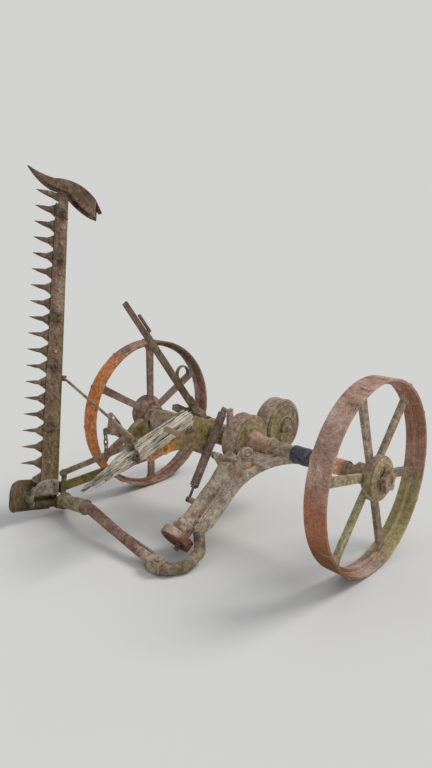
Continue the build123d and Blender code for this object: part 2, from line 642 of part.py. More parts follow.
# Arched casting that clamps the bar to the shoe and roofs the knife head
arch_face = make_face([
    Line((BAR_INNER_END, -48), (104, -48)), ThreePointArc((104, -48), (114, -38), (116, -26)),
    Line((116, -26), (116, 20)), ThreePointArc((116, 20), (98, 68), (60, 92)),
    Line((60, 92), (10, 104)), Line((10, 104), (10, 84)), Line((10, 84), (BAR_INNER_END, 80)),
    Line((BAR_INNER_END, 80), (BAR_INNER_END, -48))])
arch = extrude(Plane.XY.offset(bar_top) * arch_face, ARCH_HEIGHT)
arch = chamfer(arch.faces().sort_by(Axis.Z)[-1].edges(), 7)
arch -= block(0, 130, BAR_FRONT - 1, 82, 0, knife_high + KNIFE_BACK_THICK + HEAD_THICK + 2)
arch += block(12, 40, 84, 100, SOLE_Z + SOLE_THICK, bar_top + 4)
parts["shoe_arch"] = RAISED * arch

# Yoke on the drag bar's end: an ear that holds the long hinge pin, and a plate standing up behind it
yoke = along_bar_y(EAR_R, YOKE_REAR, KNUCKLE_REAR - EAR_GAP)
yoke += block(-EAR_R, EAR_R, YOKE_REAR, KNUCKLE_REAR - EAR_GAP, 0, EAR_R + 6)
yoke += block(0, YOKE_PLATE, YOKE_REAR, YOKE_REAR + PLATE_THICK, -8, 16)
yoke = RAISED * yoke
yoke -= extrude(sleeve_plane * Circle(SLEEVE_RING_R), sleeve_length)
pin_rear = YOKE_REAR - 4
hinge_pin = along_bar_y(HINGE_PIN_R, pin_rear, KNUCKLE_FRONT + EAR_GAP + 14)
hinge_pin += along_bar_y(PIN_HEAD_R, KNUCKLE_FRONT + EAR_GAP, KNUCKLE_FRONT + EAR_GAP + 10)
parts["hinge_pin"] = RAISED * hinge_pin
yoke -= RAISED * along_bar_y(HINGE_PIN_R + FIT, pin_rear - 5, KNUCKLE_REAR)
lift_foot = raised_point(LIFT_FOOT_X, YOKE_REAR + PLATE_THICK + LIFT_ROD_R - 3, 4)
lift_rod = rod(lift_foot, LIFT_ROD_TOP, LIFT_ROD_R)
parts["drag_yoke"] = yoke - lift_rod

# Outer shoe, the curved divider at the bar's end: a shell with a drawn-out nose
outer_face = make_face([
    ThreePointArc((last_guard + 19, 203), (last_guard, 122), (last_guard - 2, 66)),
    ThreePointArc((last_guard - 2, 66), (last_guard + 13, -46), (last_guard - 30, -182)),
    Line((last_guard - 30, -182), (last_guard - 84, -230)),
    Line((last_guard - 84, -230), (last_guard - 128, -222)),
    ThreePointArc((last_guard - 128, -222), (last_guard - 104, -116), (last_guard - 46, -22)),
    Line((last_guard - 46, -22), (last_guard - 46, 52)),
    ThreePointArc((last_guard - 46, 52), (last_guard - 20, 140), (last_guard + 17, DIVIDER_TIP)),
    Line((last_guard + 17, DIVIDER_TIP), (last_guard + 19, 203))])
divider_low = SOLE_Z + 4
divider_high = divider_low + DIVIDER_HEIGHT
divider = extrude(Plane.XY.offset(divider_low) * outer_face, DIVIDER_HEIGHT)
divider_side = make_face([
    Line((-240, divider_low + 14), (-190, divider_low)), Line((-190, divider_low), (60, divider_low)),
    ThreePointArc((60, divider_low), (140, divider_low + 14), (DIVIDER_TIP + 1, divider_low + 34)),
    Line((DIVIDER_TIP + 1, divider_low + 34), (DIVIDER_TIP + 1, divider_low + 39)),
    ThreePointArc((DIVIDER_TIP + 1, divider_low + 39), (130, divider_high - 7), (70, divider_high)),
    ThreePointArc((70, divider_high), (-120, divider_high - 3), (-240, divider_high - 18)),
    Line((-240, divider_high - 18), (-240, divider_low + 14))])
side_plane = Plane(origin=(bar_end - 2 * GUARD_PITCH, 0, 0), x_dir=(0, 1, 0), z_dir=(1, 0, 0))
divider &= extrude(side_plane * divider_side, 4 * GUARD_PITCH)
hollow = spot(-DIVIDER_WALL, 0, 0) * extrude(
    Plane.XY.offset(divider_low + DIVIDER_WALL) * outer_face, DIVIDER_HEIGHT - 2 * DIVIDER_WALL - 2)
hollow &= block(bar_end - 2 * GUARD_PITCH, last_guard + GUARD_PITCH, -240, -58, divider_low, divider_high)
divider -= hollow
divider -= block(bar_end - GUARD_PITCH, bar_end + FIT, BAR_REAR_INNER, BAR_FRONT + FIT,
                 -bar_top - FIT, bar_top + FIT)
divider -= block(bar_end - GUARD_PITCH, bar_end + CLEAR, BAR_FRONT, SECTION_TIP + CLEAR, slot_low,
                 knife_high + KNIFE_BACK_THICK + 2)
parts["outer_shoe"] = RAISED * divider

# Tongue stub, on the right of the gear case, broken off in front
half_height = TONGUE_HEIGHT / 2
half_width = TONGUE_WIDTH / 2
tongue_run = Vector(*TONGUE_FRONT) - Vector(*TONGUE_REAR)
TONGUE = Plane(origin=TONGUE_REAR, x_dir=(1, 0, 0), z_dir=Vector(1, 0, 0).cross(tongue_run))
tongue = TONGUE * block(-half_width, half_width, 0, TONGUE_SOUND, -half_height, half_height)
break_plane = Plane(origin=TONGUE.from_local_coords(Vector(0, TONGUE_SOUND, 0)), z_dir=tongue_run,
                    x_dir=(1, 0, 0))
tip_reach = tongue_run.length - TONGUE_SOUND
tongue += loft([break_plane * Rectangle(TONGUE_WIDTH, TONGUE_HEIGHT),
                break_plane.offset(tip_reach) * Rectangle(TONGUE_WIDTH / 2, TONGUE_TIP)])
tongue -= TONGUE * block(-half_width, half_width, TONGUE_SOUND + 40, tongue_run.length + 1, -3, 3)
parts["tongue_stub"] = tongue

# Bracket plate between axle housing and tongue, with the draft eye
BRACKET_X = TONGUE_REAR[0] + half_width
bracket_right = BRACKET_X + BRACKET_THICK
bracket_face = make_face([
    ThreePointArc((24, 452), (-58, 396), (20, 330)), Line((20, 330), (172, 342)),
    ThreePointArc((172, 342), (296, 362), (404, 342)), Line((404, 342), (420, 354)),
    ThreePointArc((420, 354), (400, 390), (398, 426)), Line((398, 426), (366, 438)),
    ThreePointArc((366, 438), (296, 422), (226, 424)), Line((226, 424), (214, 506)),
    Line((214, 506), (150, 506)), Line((150, 506), (24, 452))])
bracket_plane = Plane(origin=(BRACKET_X, 0, 0), x_dir=(0, 1, 0), z_dir=(1, 0, 0))
bracket = extrude(bracket_plane * bracket_face, BRACKET_THICK)
bracket += TONGUE * block(-SHELF_REACH, half_width + 2, SHELF_START, SHELF_END,
                          -half_height - SHELF_THICK, -half_height)
bracket += along_x(DRAFT_BOSS_R, BRACKET_X - DRAFT_BOSS, bracket_right, *DRAFT_EYE)
bracket += along_x(BOLT_BOSS_R, BRACKET_X - DRAFT_BOSS, bracket_right, *BOLT_BOSS)
saddle = along_x(SADDLE_R, SADDLE_LEFT, SADDLE_RIGHT)
bracket += saddle - block(SADDLE_LEFT, SADDLE_RIGHT, -SADDLE_R, SADDLE_R, AXLE_Z - 14, AXLE_Z + SADDLE_R)
bore_ends = (BRACKET_X - DRAFT_BOSS - 5, bracket_right + 5)
bracket -= along_x(RIGHT_BOSS_R + FIT, SADDLE_LEFT - 5, SADDLE_RIGHT + 5)
bracket -= along_x(DRAFT_EYE_R, *bore_ends, *DRAFT_EYE)
bracket -= along_x(LIFT_SHAFT_R + FIT, *bore_ends, *LIFT_PIVOT)
bracket -= along_x(LIFT_SHAFT_R + FIT, *bore_ends, *PEDAL_PIVOT)
parts["draft_bracket"] = bracket

# Lift sector on its shaft, with the arm that the chain hangs from
parts["lift_shaft"] = along_x(LIFT_SHAFT_R, BRACKET_X - 8, ROCKER_X + ROCKER_THICK + 4, *LIFT_PIVOT)
sector_face = make_face([
    Line((16, -18), (SECTOR_R, 10)),
    ThreePointArc((SECTOR_R, 10), (SECTOR_R * 0.72, SECTOR_R * 0.72), (12, SECTOR_R)),
    Line((12, SECTOR_R), (-22, 8)), ThreePointArc((-22, 8), (-12, -20), (16, -18))])
sector = extrude(Plane(origin=(SECTOR_X, *LIFT_PIVOT), x_dir=(0, 1, 0), z_dir=(1, 0, 0)) * sector_face,
                 SECTOR_THICK)
sector -= along_x(LIFT_SHAFT_R + FIT, SECTOR_X - 5, SECTOR_X + SECTOR_THICK + 5, *LIFT_PIVOT)
parts["lift_sector"] = sector

# Rocker on the shaft's outer end, with the pin that the chain hangs from
chain_y, chain_z = CHAIN_TOP[1:]
pivot_y, pivot_z = LIFT_PIVOT
rocker_plane = Plane(origin=(ROCKER_X, pivot_y, pivot_z), x_dir=(0, 1, 0), z_dir=(1, 0, 0))
chain_in, chain_up = chain_y - pivot_y, chain_z - pivot_z
rocker_face = make_face([
    ThreePointArc((-20, 8), (0, -22), (24, -10)), Line((24, -10), (chain_in, chain_up - 16)),
    ThreePointArc((chain_in, chain_up - 16), (chain_in + 13, chain_up + 4), (chain_in - 2, chain_up + 15)),
    Line((chain_in - 2, chain_up + 15), (chain_in - 8, 70)), Line((chain_in - 8, 70), (58, 102)),
    ThreePointArc((58, 102), (49, 108), (40, 102)), Line((40, 102), (2, 52)), Line((2, 52), (-20, 8))])
rocker = extrude(rocker_plane * rocker_face, ROCKER_THICK)
rocker -= extrude(rocker_plane * spot(36, 78, 0) * Circle(LIFT_SHAFT_R), ROCKER_THICK)
rocker -= along_x(LIFT_SHAFT_R + FIT, ROCKER_X - 5, ROCKER_X + ROCKER_THICK + 5, *LIFT_PIVOT)
rocker += along_x(CHAIN_PIN_R, ROCKER_X, CHAIN_TOP[0] + 12, chain_y, chain_z)
parts["lift_rocker"] = rocker

# Latch casting on the tongue's side: two ears on a foot, with a pin between them
latch_face = make_face([
    Line((-46, -28), (-40, 40)), Line((-40, 40), (20, 62)),
    ThreePointArc((20, 62), (62, 58), (72, 24)), Line((72, 24), (60, -30)), Line((60, -30), (-46, -28))])
latch_plane = Plane(origin=(BRACKET_X + FIT, *LATCH_AT), x_dir=(0, 1, 0), z_dir=(1, 0, 0))
latch = extrude(latch_plane * latch_face, LATCH_WALL)
latch += extrude(latch_plane.offset(LATCH_WIDTH - LATCH_WALL) * latch_face, LATCH_WALL)
latch += extrude(latch_plane * Location((7, -20)) * Rectangle(96, 14), LATCH_WIDTH)
latch += along_x(LIFT_SHAFT_R, BRACKET_X + FIT, BRACKET_X + LATCH_WIDTH + 6, LATCH_AT[0] + 38,
                 LATCH_AT[1] + 34)
parts["latch_bracket"] = latch

# Chain hanging from the rocker's pin
link_drop = LINK_LENGTH - 4 * LINK_R - LINK_SLACK
first_link = chain_z + CHAIN_PIN_R + LINK_SLACK + 2 * LINK_R - LINK_LENGTH / 2
links = []
for k in range(CHAIN_LINKS):
    link_plane = Plane(origin=(0, 0, 0), x_dir=(0, 0, 1), z_dir=(0, 1, 0) if k % 2 else (1, 0, 0))
    loop = SlotOverall(LINK_LENGTH, LINK_WIDTH) - SlotOverall(
        LINK_LENGTH - LINK_R * 4, LINK_WIDTH - LINK_R * 4)
    link = extrude(link_plane * loop, LINK_R, both=True)
    links.append(spot(CHAIN_TOP[0], chain_y, first_link - k * link_drop) * link)
parts["lift_chain"] = Compound(links)

# Lift rod from the yoke's plate up to an arm on the lift shaft
rod_in, rod_down = LIFT_ROD_TOP[1] - pivot_y, LIFT_ROD_TOP[2] - pivot_z
arm_face = make_face(Polyline(
    (-22, 6), (0, 22), (22, 6), (rod_in + 18, rod_down - 8), (rod_in, rod_down - 20),
    (rod_in - 18, rod_down - 8), close=True))
arm_plane = Plane(origin=(LIFT_ROD_TOP[0] - 8, pivot_y, pivot_z), x_dir=(0, 1, 0), z_dir=(1, 0, 0))
lift_arm = extrude(arm_plane * arm_face, 16)
lift_arm -= along_x(LIFT_SHAFT_R + FIT, LIFT_ROD_TOP[0] - 10, LIFT_ROD_TOP[0] + 10, *LIFT_PIVOT)
parts["lift_arm"] = lift_arm - lift_rod
parts["lift_rod"] = lift_rod

# Push bar from the rear ear of the yoke to the right axle housing
plate_front = YOKE_REAR + PLATE_THICK
push_foot = raised_point(PUSH_FOOT_X, plate_front + PUSH_THICK / 2, 4)
push_bar = flat_bar(push_foot, PUSH_TOP, PUSH_WIDTH, PUSH_THICK)
push_bar += RAISED * block(PUSH_FOOT_X - 27, PUSH_FOOT_X + 27, plate_front,
                           plate_front + PUSH_THICK, -10, 18)
push_bar += block(push_x - 10, push_x + 8, push_y - 22, push_y + 22, push_z - 24, push_z + 12)
push_bar -= block(push_x - 60, push_x - 10, push_y - 60, push_y + 60, push_z - 60, push_z + 60)
parts["push_bar"] = push_bar - yoke - lift_rod

# Hand lever on the right axle housing, with its quadrant and latch
lever_foot = (LEVER_X, 18.0, AXLE_Z + 46)
lever_run = Vector(*LEVER_TOP) - Vector(*lever_foot)
lever_plane = Plane(origin=lever_foot, x_dir=(1, 0, 0), z_dir=lever_run)
lever = loft([lever_plane * Rectangle(LEVER_THICK, LEVER_ROOT),
              lever_plane.offset(lever_run.length) * Rectangle(LEVER_THICK, LEVER_TIP)])
LEVER = Location(lever_plane)
lever += LEVER * block(-LEVER_THICK / 2, LEVER_THICK / 2, -LEVER_TIP / 2 - 10, 0, GRIP_LOW, GRIP_LOW + 16)
lever += LEVER * block(-LEVER_THICK / 2, LEVER_THICK / 2, -LEVER_TIP / 2 - 20, -LEVER_TIP / 2 - 10,
                       GRIP_LOW, GRIP_LOW + GRIP_LENGTH)
lever_hub = along_x(LEVER_HUB_R, LEVER_X - LEVER_THICK, LEVER_X + LEVER_THICK)
lever_hub -= along_x(RIGHT_BOSS_R + FIT, LEVER_X - LEVER_THICK, LEVER_X + LEVER_THICK)
lever -= along_x(RIGHT_BOSS_R + FIT, LEVER_X - LEVER_THICK, LEVER_X + LEVER_THICK)
parts["hand_lever"] = lever + lever_hub - saddle
quadrant_in = LEVER_X + LEVER_THICK + QUADRANT_GAP
quadrant_out = quadrant_in + LEVER_THICK
quadrant_face = make_face([
    ThreePointArc((-44, 30), (8, QUADRANT_R), (QUADRANT_R, 118)),
    Line((QUADRANT_R, 118), (156, 149)), Line((156, 149), (184, 150)), Line((184, 150), (188, 126)),
    ThreePointArc((188, 126), (110, 66), (52, 0)), Line((52, 0), (-44, 0)), Line((-44, 0), (-44, 30))])
quadrant = extrude(Plane(origin=(quadrant_in, 0, AXLE_Z), x_dir=(0, 1, 0), z_dir=(1, 0, 0))
                   * quadrant_face, LEVER_THICK)
quadrant += along_x(LEVER_HUB_R, quadrant_in, quadrant_out)
quadrant -= along_x(RIGHT_BOSS_R + FIT, quadrant_in - 5, quadrant_out + 5)
parts["lever_quadrant"] = quadrant - saddle

# Foot pedal, hinged on a stub of the bracket
pedal_face = make_face([
    ThreePointArc((-18, 26), (-20, -8), (8, -20)), Line((8, -20), (30, 44)), Line((30, 44), (228, 148)),
    ThreePointArc((228, 148), (236, 162), (220, 172)), Line((220, 172), (-18, 26))])
pedal_plane = Plane(origin=(PEDAL_X, *PEDAL_PIVOT), x_dir=(0, 1, 0), z_dir=(1, 0, 0))
pedal = extrude(pedal_plane * pedal_face, PEDAL_THICK)
pedal -= along_x(LIFT_SHAFT_R + FIT, PEDAL_X - 5, PEDAL_X + PEDAL_THICK + 5, *PEDAL_PIVOT)
parts["foot_pedal"] = pedal
parts["pedal_pin"] = along_x(LIFT_SHAFT_R, PEDAL_X - 6, bracket_right + 6, *PEDAL_PIVOT)

# Coil spring between the gear case and the frame arm, on two screwed plugs
spring_run = Vector(*SPRING_LOW) - Vector(*SPRING_TOP)
spring = along_z(SPRING_R, 0, spring_run.length)
spring -= along_z(SPRING_R - 2 * SPRING_WIRE, 0, spring_run.length)
spring_place = Location(Plane(origin=SPRING_TOP, x_dir=(1, 0, 0), z_dir=spring_run))
parts["lift_spring"] = spring_place * spring
plug_r = SPRING_R - 2 * SPRING_WIRE - FIT
plug_top = along_z(plug_r, -26, 40) - block(-60, -8, -60, 60, -60, -6) - block(8, 60, -60, 60, -60, -6)
plug_top -= along_x(ANCHOR_R + FIT, -60, 60, 0, -14)
foot_drop = spring_run.length + SPRING_ROD
plug_low = along_z(plug_r, spring_run.length - 40, spring_run.length + 6)
plug_low += along_z(ANCHOR_R, spring_run.length, foot_drop)
plug_low += along_x(EYE_R, -EYE_THICK / 2, EYE_THICK / 2, 0, foot_drop)
plug_low -= along_x(ANCHOR_R + FIT, -60, 60, 0, foot_drop)
parts["spring_plugs"] = Compound([spring_place * plug_top, spring_place * plug_low])
anchor = (spring_place * spot(0, 0, -14)).position
foot = (spring_place * spot(0, 0, foot_drop)).position
case_lug = block(CASE_RIGHT - 18, CASE_RIGHT, anchor.Y - EYE_R, anchor.Y + EYE_R,
                 AXLE_Z + 60, anchor.Z + EYE_R)
case_lug += along_x(ANCHOR_R, CASE_RIGHT - 4, SPRING_TOP[0] + 14, anchor.Y, anchor.Z)
parts["gear_case"] += case_lug
foot_lug = along_x(EYE_R, SHAFT_X + 12, SPRING_LOW[0] - EYE_R, foot.Y, foot.Z)
parts["frame_arm"] += foot_lug + along_x(ANCHOR_R, SHAFT_X + 20, SPRING_LOW[0] + EYE_R, foot.Y, foot.Z)

# Hold-up rod from the bar's rear edge, with the ring that lies on the tongue
hold_low = raised_point(HOLD_X, HOLD_Y, bar_top)
hold_rod = rod(hold_low, HOLD_END, HOLD_R)
ring_x, ring_y, ring_z = HOLD_RING
ring_half = HOLD_RING_WIRE
hold_rod += along_x(HOLD_RING_R + ring_half, ring_x - ring_half, ring_x + ring_half, ring_y, ring_z)
hold_rod -= along_x(HOLD_RING_R - ring_half, ring_x - ring_half, ring_x + ring_half, ring_y, ring_z)
parts["hold_up_rod"] = hold_rod
hold_lug = block(HOLD_X - 14, HOLD_X + 14, HOLD_Y - 12, BAR_REAR_OUTER, -bar_top, bar_top)
parts["finger_bar"] = parts["finger_bar"] + RAISED * hold_lug - hold_rod

# Clamp rod through the two bosses over the drive housing
parts["clamp_rod"] = along_x(CLAMP_R, CLAMP_LEFT - 12, CLAMP_RIGHT + 12, *clamp_at)

# Tape wound on the left axle tube
tape = along_x(TUBE_R + TAPE_THICK, TAPE_LEFT, TAPE_RIGHT) - along_x(TUBE_R + FIT, TAPE_LEFT, TAPE_RIGHT)
parts["tape_wrap"] = tape

# Lay the whole machine over the middle of its own footprint
boxes = [piece.bounding_box() for piece in parts.values()]
low = Vector(*[min(getattr(b.min, axis) for b in boxes) for axis in "XYZ"])
high = Vector(*[max(getattr(b.max, axis) for b in boxes) for axis in "XYZ"])
CENTRE = Location((-(low.X + high.X) / 2, -(low.Y + high.Y) / 2, -low.Z))

for name, piece in parts.items():
    export_step(CENTRE * piece, "parts/" + name + ".step")
print(len(parts), "pieces; box", low, high)
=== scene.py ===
# %% [markdown]
# Old horse-drawn sickle mower. The castings, bars and wheels come ready made as solids; this
# lesson dresses them: rust, lichen and worn edges on the iron, silver grain in the broken pole,
# and the bolts, rivets, links and splinters that a maker would add last. All sizes are in
# metres, in the machine's own frame.

# %% Load the frame
import json
import math
import random

import bmesh
import bpy
from mathutils import Matrix, Vector

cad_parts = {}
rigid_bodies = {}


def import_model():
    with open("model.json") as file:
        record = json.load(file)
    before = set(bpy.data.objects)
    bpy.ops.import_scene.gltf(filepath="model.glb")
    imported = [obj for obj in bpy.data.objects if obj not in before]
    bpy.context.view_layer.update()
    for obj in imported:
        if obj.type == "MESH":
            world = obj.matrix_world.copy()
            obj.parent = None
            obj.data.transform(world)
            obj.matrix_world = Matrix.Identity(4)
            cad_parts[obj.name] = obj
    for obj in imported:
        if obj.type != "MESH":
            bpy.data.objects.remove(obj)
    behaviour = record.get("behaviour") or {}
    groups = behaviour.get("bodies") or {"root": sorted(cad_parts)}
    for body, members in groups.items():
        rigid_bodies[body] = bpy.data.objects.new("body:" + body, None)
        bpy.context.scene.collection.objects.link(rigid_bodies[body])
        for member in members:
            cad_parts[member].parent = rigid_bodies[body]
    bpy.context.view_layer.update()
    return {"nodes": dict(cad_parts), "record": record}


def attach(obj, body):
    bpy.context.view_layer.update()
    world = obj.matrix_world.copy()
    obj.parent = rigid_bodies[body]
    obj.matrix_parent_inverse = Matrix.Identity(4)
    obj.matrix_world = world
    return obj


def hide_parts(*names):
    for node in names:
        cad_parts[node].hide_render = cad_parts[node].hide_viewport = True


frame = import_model()
nodes = frame["nodes"]
scene = bpy.context.scene
print("loaded", len(nodes), "nodes")

# %% [markdown]
# The machine was measured in millimetres with the axle over y = 0 and x = 0 midway between the
# wheels. One shift, read from a wheel's joint, carries every measured place into the frame. The
# sloping frame arm, the raised cutter bar, the pole and the hand lever each get a helper of
# their own, because a bolt is easy to place once its own casting lies square.

# %% Measured places
HUB_X, AXLE_Z = 658, 394
joint_at = {j["name"]: j for j in frame["record"]["behaviour"]["joints"]}
SHIFT = Vector(joint_at["left_wheel_spin"]["pos_m"]) - Vector((-HUB_X / 1000, 0, AXLE_Z / 1000))
left, right = (-1, 0, 0), (1, 0, 0)
up, down = (0, 0, 1), (0, 0, -1)
ahead = (0, 1, 0)


def mm(x, y, z):
    """A measured place, in millimetres, in the frame."""
    return Vector((x, y, z)) / 1000 + SHIFT


def lane(origin, across, along):
    """Place and direction finders for a piece with its own axes: across, along and up."""
    across, along = Vector(across).normalized(), Vector(along).normalized()
    upward = across.cross(along)

    def at(x, y, z):
        return mm(*origin) + (across * x + along * y + upward * z) / 1000

    def way(x, y, z):
        return (across * x + along * y + upward * z).normalized()
    return at, way


slope, nose, lean = math.radians(35), math.radians(13.4), math.radians(9.3)
bar_nose = (0, math.cos(nose), math.sin(nose))
bar_out = (math.sin(lean), -math.cos(lean) * math.sin(nose), math.cos(lean) * math.cos(nose))
on_arm, arm_way = lane((0, 0, AXLE_Z), right, (0, math.cos(slope), -math.sin(slope)))
on_bar, bar_way = lane((700, 627, 63), bar_out, bar_nose)
on_pole, pole_way = lane((150, 205, 516.9), right, (0, 575, -178.9))
on_lever, lever_way = lane((250, 18, 440), right, (0, 446, 596))
print("shift", [round(v, 4) for v in SHIFT], "bar points", [round(v, 3) for v in bar_out])

# %% [markdown]
# The camera stands where the photographer stood: ahead of the machine and to its left, at
# chest height, looking slightly down.

# %% Camera
camera_data = bpy.data.cameras.new("camera")
camera_data.lens = 27.6
camera_data.sensor_width = 36.0
camera = bpy.data.objects.new("camera", camera_data)
scene.collection.objects.link(camera)
camera.location = mm(-1694, 1973, 1261)
yaw, pitch = math.radians(-46.587), math.radians(-13.111)
look = Vector((math.cos(pitch) * math.cos(yaw), math.cos(pitch) * math.sin(yaw), math.sin(pitch)))
camera.rotation_mode = "QUATERNION"
camera.rotation_quaternion = look.to_track_quat("-Z", "Y")
scene.camera = camera
print("camera at", [round(v, 3) for v in camera.location])

# %% [markdown]
# A skin and the sky are both drawn as nodes joined by wires. Three helpers keep that short: one
# wires an input or sets it, one adds a node with its inputs, and one starts a new skin.

# %% Nodes and wires


def wire(tree, source, node, into):
    """Gives a node's input an output of another node, or a plain value."""
    if isinstance(source, bpy.types.NodeSocket):
        tree.links.new(source, node.inputs[into])
    else:
        node.inputs[into].default_value = source


def add_node(tree, kind, inputs, **settings):
    """A new node with its settings, and its inputs wired or set."""
    node = tree.nodes.new("ShaderNode" + kind)
    for key, value in settings.items():
        setattr(node, key, value)
    for into, source in inputs.items():
        wire(tree, source, node, into)
    return node


def new_skin(name):
    """A new skin, its node tree and its shader."""
    skin = bpy.data.materials.new(name)
    skin.use_nodes = True
    return skin, skin.node_tree, skin.node_tree.nodes["Principled BSDF"]


print("three helpers for skins and sky")

# %% [markdown]
# The machine was seen under a bright grey sky, so the light is a wide pale dome with one broad
# lamp from high on the left, and the floor is a plain pale grey that keeps the soft shadows.
# What the camera sees behind the floor is given the floor's own tone, so no horizon cuts
# through the bar.

# %% Light and floor
BACKDROP = (0.645, 0.65, 0.635)
world = bpy.data.worlds.new("sky")
scene.world = world
world.use_nodes = True
sky = world.node_tree
sky_light = sky.nodes["Background"]
sky_light.inputs["Color"].default_value = (0.92, 0.96, 1.0, 1.0)
sky_light.inputs["Strength"].default_value = 0.66
sky_seen = add_node(sky, "Background", {"Color": (*BACKDROP, 1.0), "Strength": 1.0})
rays = add_node(sky, "LightPath", {}).outputs
seen = add_node(sky, "Math", {0: rays["Is Camera Ray"], 1: rays["Is Glossy Ray"]}, operation="MAXIMUM")
sky_mix = add_node(sky, "MixShader", {0: seen.outputs[0], 1: sky_light.outputs[0], 2: sky_seen.outputs[0]})
wire(sky, sky_mix.outputs[0], sky.nodes["World Output"], "Surface")
sun_data = bpy.data.lights.new("sun", "SUN")
sun_data.energy = 1.55
sun_data.angle = math.radians(24)
sun_data.color = (1.0, 0.98, 0.94)
sun = bpy.data.objects.new("sun", sun_data)
sun.rotation_euler = (math.radians(28), math.radians(-30), math.radians(15))
scene.collection.objects.link(sun)
bpy.ops.object.select_all(action="DESELECT")
bpy.ops.mesh.primitive_plane_add(size=120, location=(0, 0, 0))
floor = bpy.context.object
floor.name = "floor"
floor_skin, _, floor_shader = new_skin("floor")
floor_shader.inputs["Base Color"].default_value = (0.66, 0.65, 0.63, 1)
floor_shader.inputs["Roughness"].default_value = 1.0
floor_shader.inputs["Specular IOR Level"].default_value = 0.0
floor.data.materials.append(floor_skin)
scene.view_settings.view_transform = "Standard"
print("light and floor ready")

# %% [markdown]
# A texture gives plain grey values. These helpers make it into something to paint with: a ramp
# turns a value into colours, a spread stretches it, and a mix lays one colour over another.

# %% Values and colours


def noise(tree, place, scale, detail=6.0, rough=0.6):
    """A noise texture at each place on a piece."""
    inputs = {"Vector": place, "Scale": scale, "Detail": detail, "Roughness": rough}
    return add_node(tree, "TexNoise", inputs).outputs["Fac"]


def ramp(tree, value, stops):
    """A colour ramp over (place, colour) stops."""
    node = add_node(tree, "ValToRGB", {"Fac": value})
    elements = node.color_ramp.elements
    while len(elements) < len(stops):
        elements.new(0.5)
    for element, (at, colour) in zip(elements, stops):
        element.position = at
        element.color = (*colour, 1.0)
    return node.outputs["Color"]


def spread(tree, value, low, high, to_low=0.0, to_high=1.0):
    """Stretches a value from one range to another and clips it there."""
    inputs = {"Value": value, "From Min": low, "From Max": high, "To Min": to_low, "To Max": to_high}
    return add_node(tree, "MapRange", inputs).outputs["Result"]


def times(tree, first, second):
    """One value times another, which may be a plain number."""
    return add_node(tree, "Math", {0: first, 1: second}, operation="MULTIPLY").outputs["Value"]


def dot(tree, first, second):
    """How far one direction lies along another, which may be a plain one."""
    return add_node(tree, "VectorMath", {0: first, 1: second}, operation="DOT_PRODUCT").outputs["Value"]


def toned(tree, colour, factor):
    """A colour made lighter or darker by a factor."""
    return add_node(tree, "VectorMath", {0: colour, "Scale": factor}, operation="SCALE").outputs["Vector"]


def mix(tree, factor, first, second):
    """Lays a colour, which may be a plain one, over another by a factor."""
    second = (*second, 1.0) if isinstance(second, tuple) else second
    return add_node(tree, "Mix", {0: factor, 6: first, 7: second}, data_type="RGBA").outputs[2]


def bumps(tree, shader, layers, under=None):
    """Lays bumps, (height, strength, distance), over one another and gives them to the shader."""
    for height, strength, distance in layers:
        bump = add_node(tree, "Bump", {"Height": height, "Strength": strength, "Distance": distance})
        if under is not None:
            wire(tree, under, bump, "Normal")
        under = bump.outputs["Normal"]
    wire(tree, under, shader, "Normal")


print("helpers for values and colours")

# %% [markdown]
# Weathered iron is never one colour. Broad blotches set three tones of rust, a middle noise
# breaks them up, and a fine one gives the gritty scale that a hand feels. Orange flecks mark
# fresh rust, lichen settles on what faces the sky, and every edge is a little lighter, partly
# as worn metal and partly as a painted highlight where an edge catches the light: a bevel node
# finds the edges by comparing the rounded direction with the true one. Stains are wide areas
# of another tone, laid along a direction, such as the orange side of a wheel that stood
# against a wall. One function builds every such skin from its own colours.

# %% Rusty iron
SKINS = {}
CRUST = (0.46, 0.44, 0.34)
GRIT_SCALE, CRUST_SCALE, EDGE_RADIUS = 210.0, 62.0, 0.005


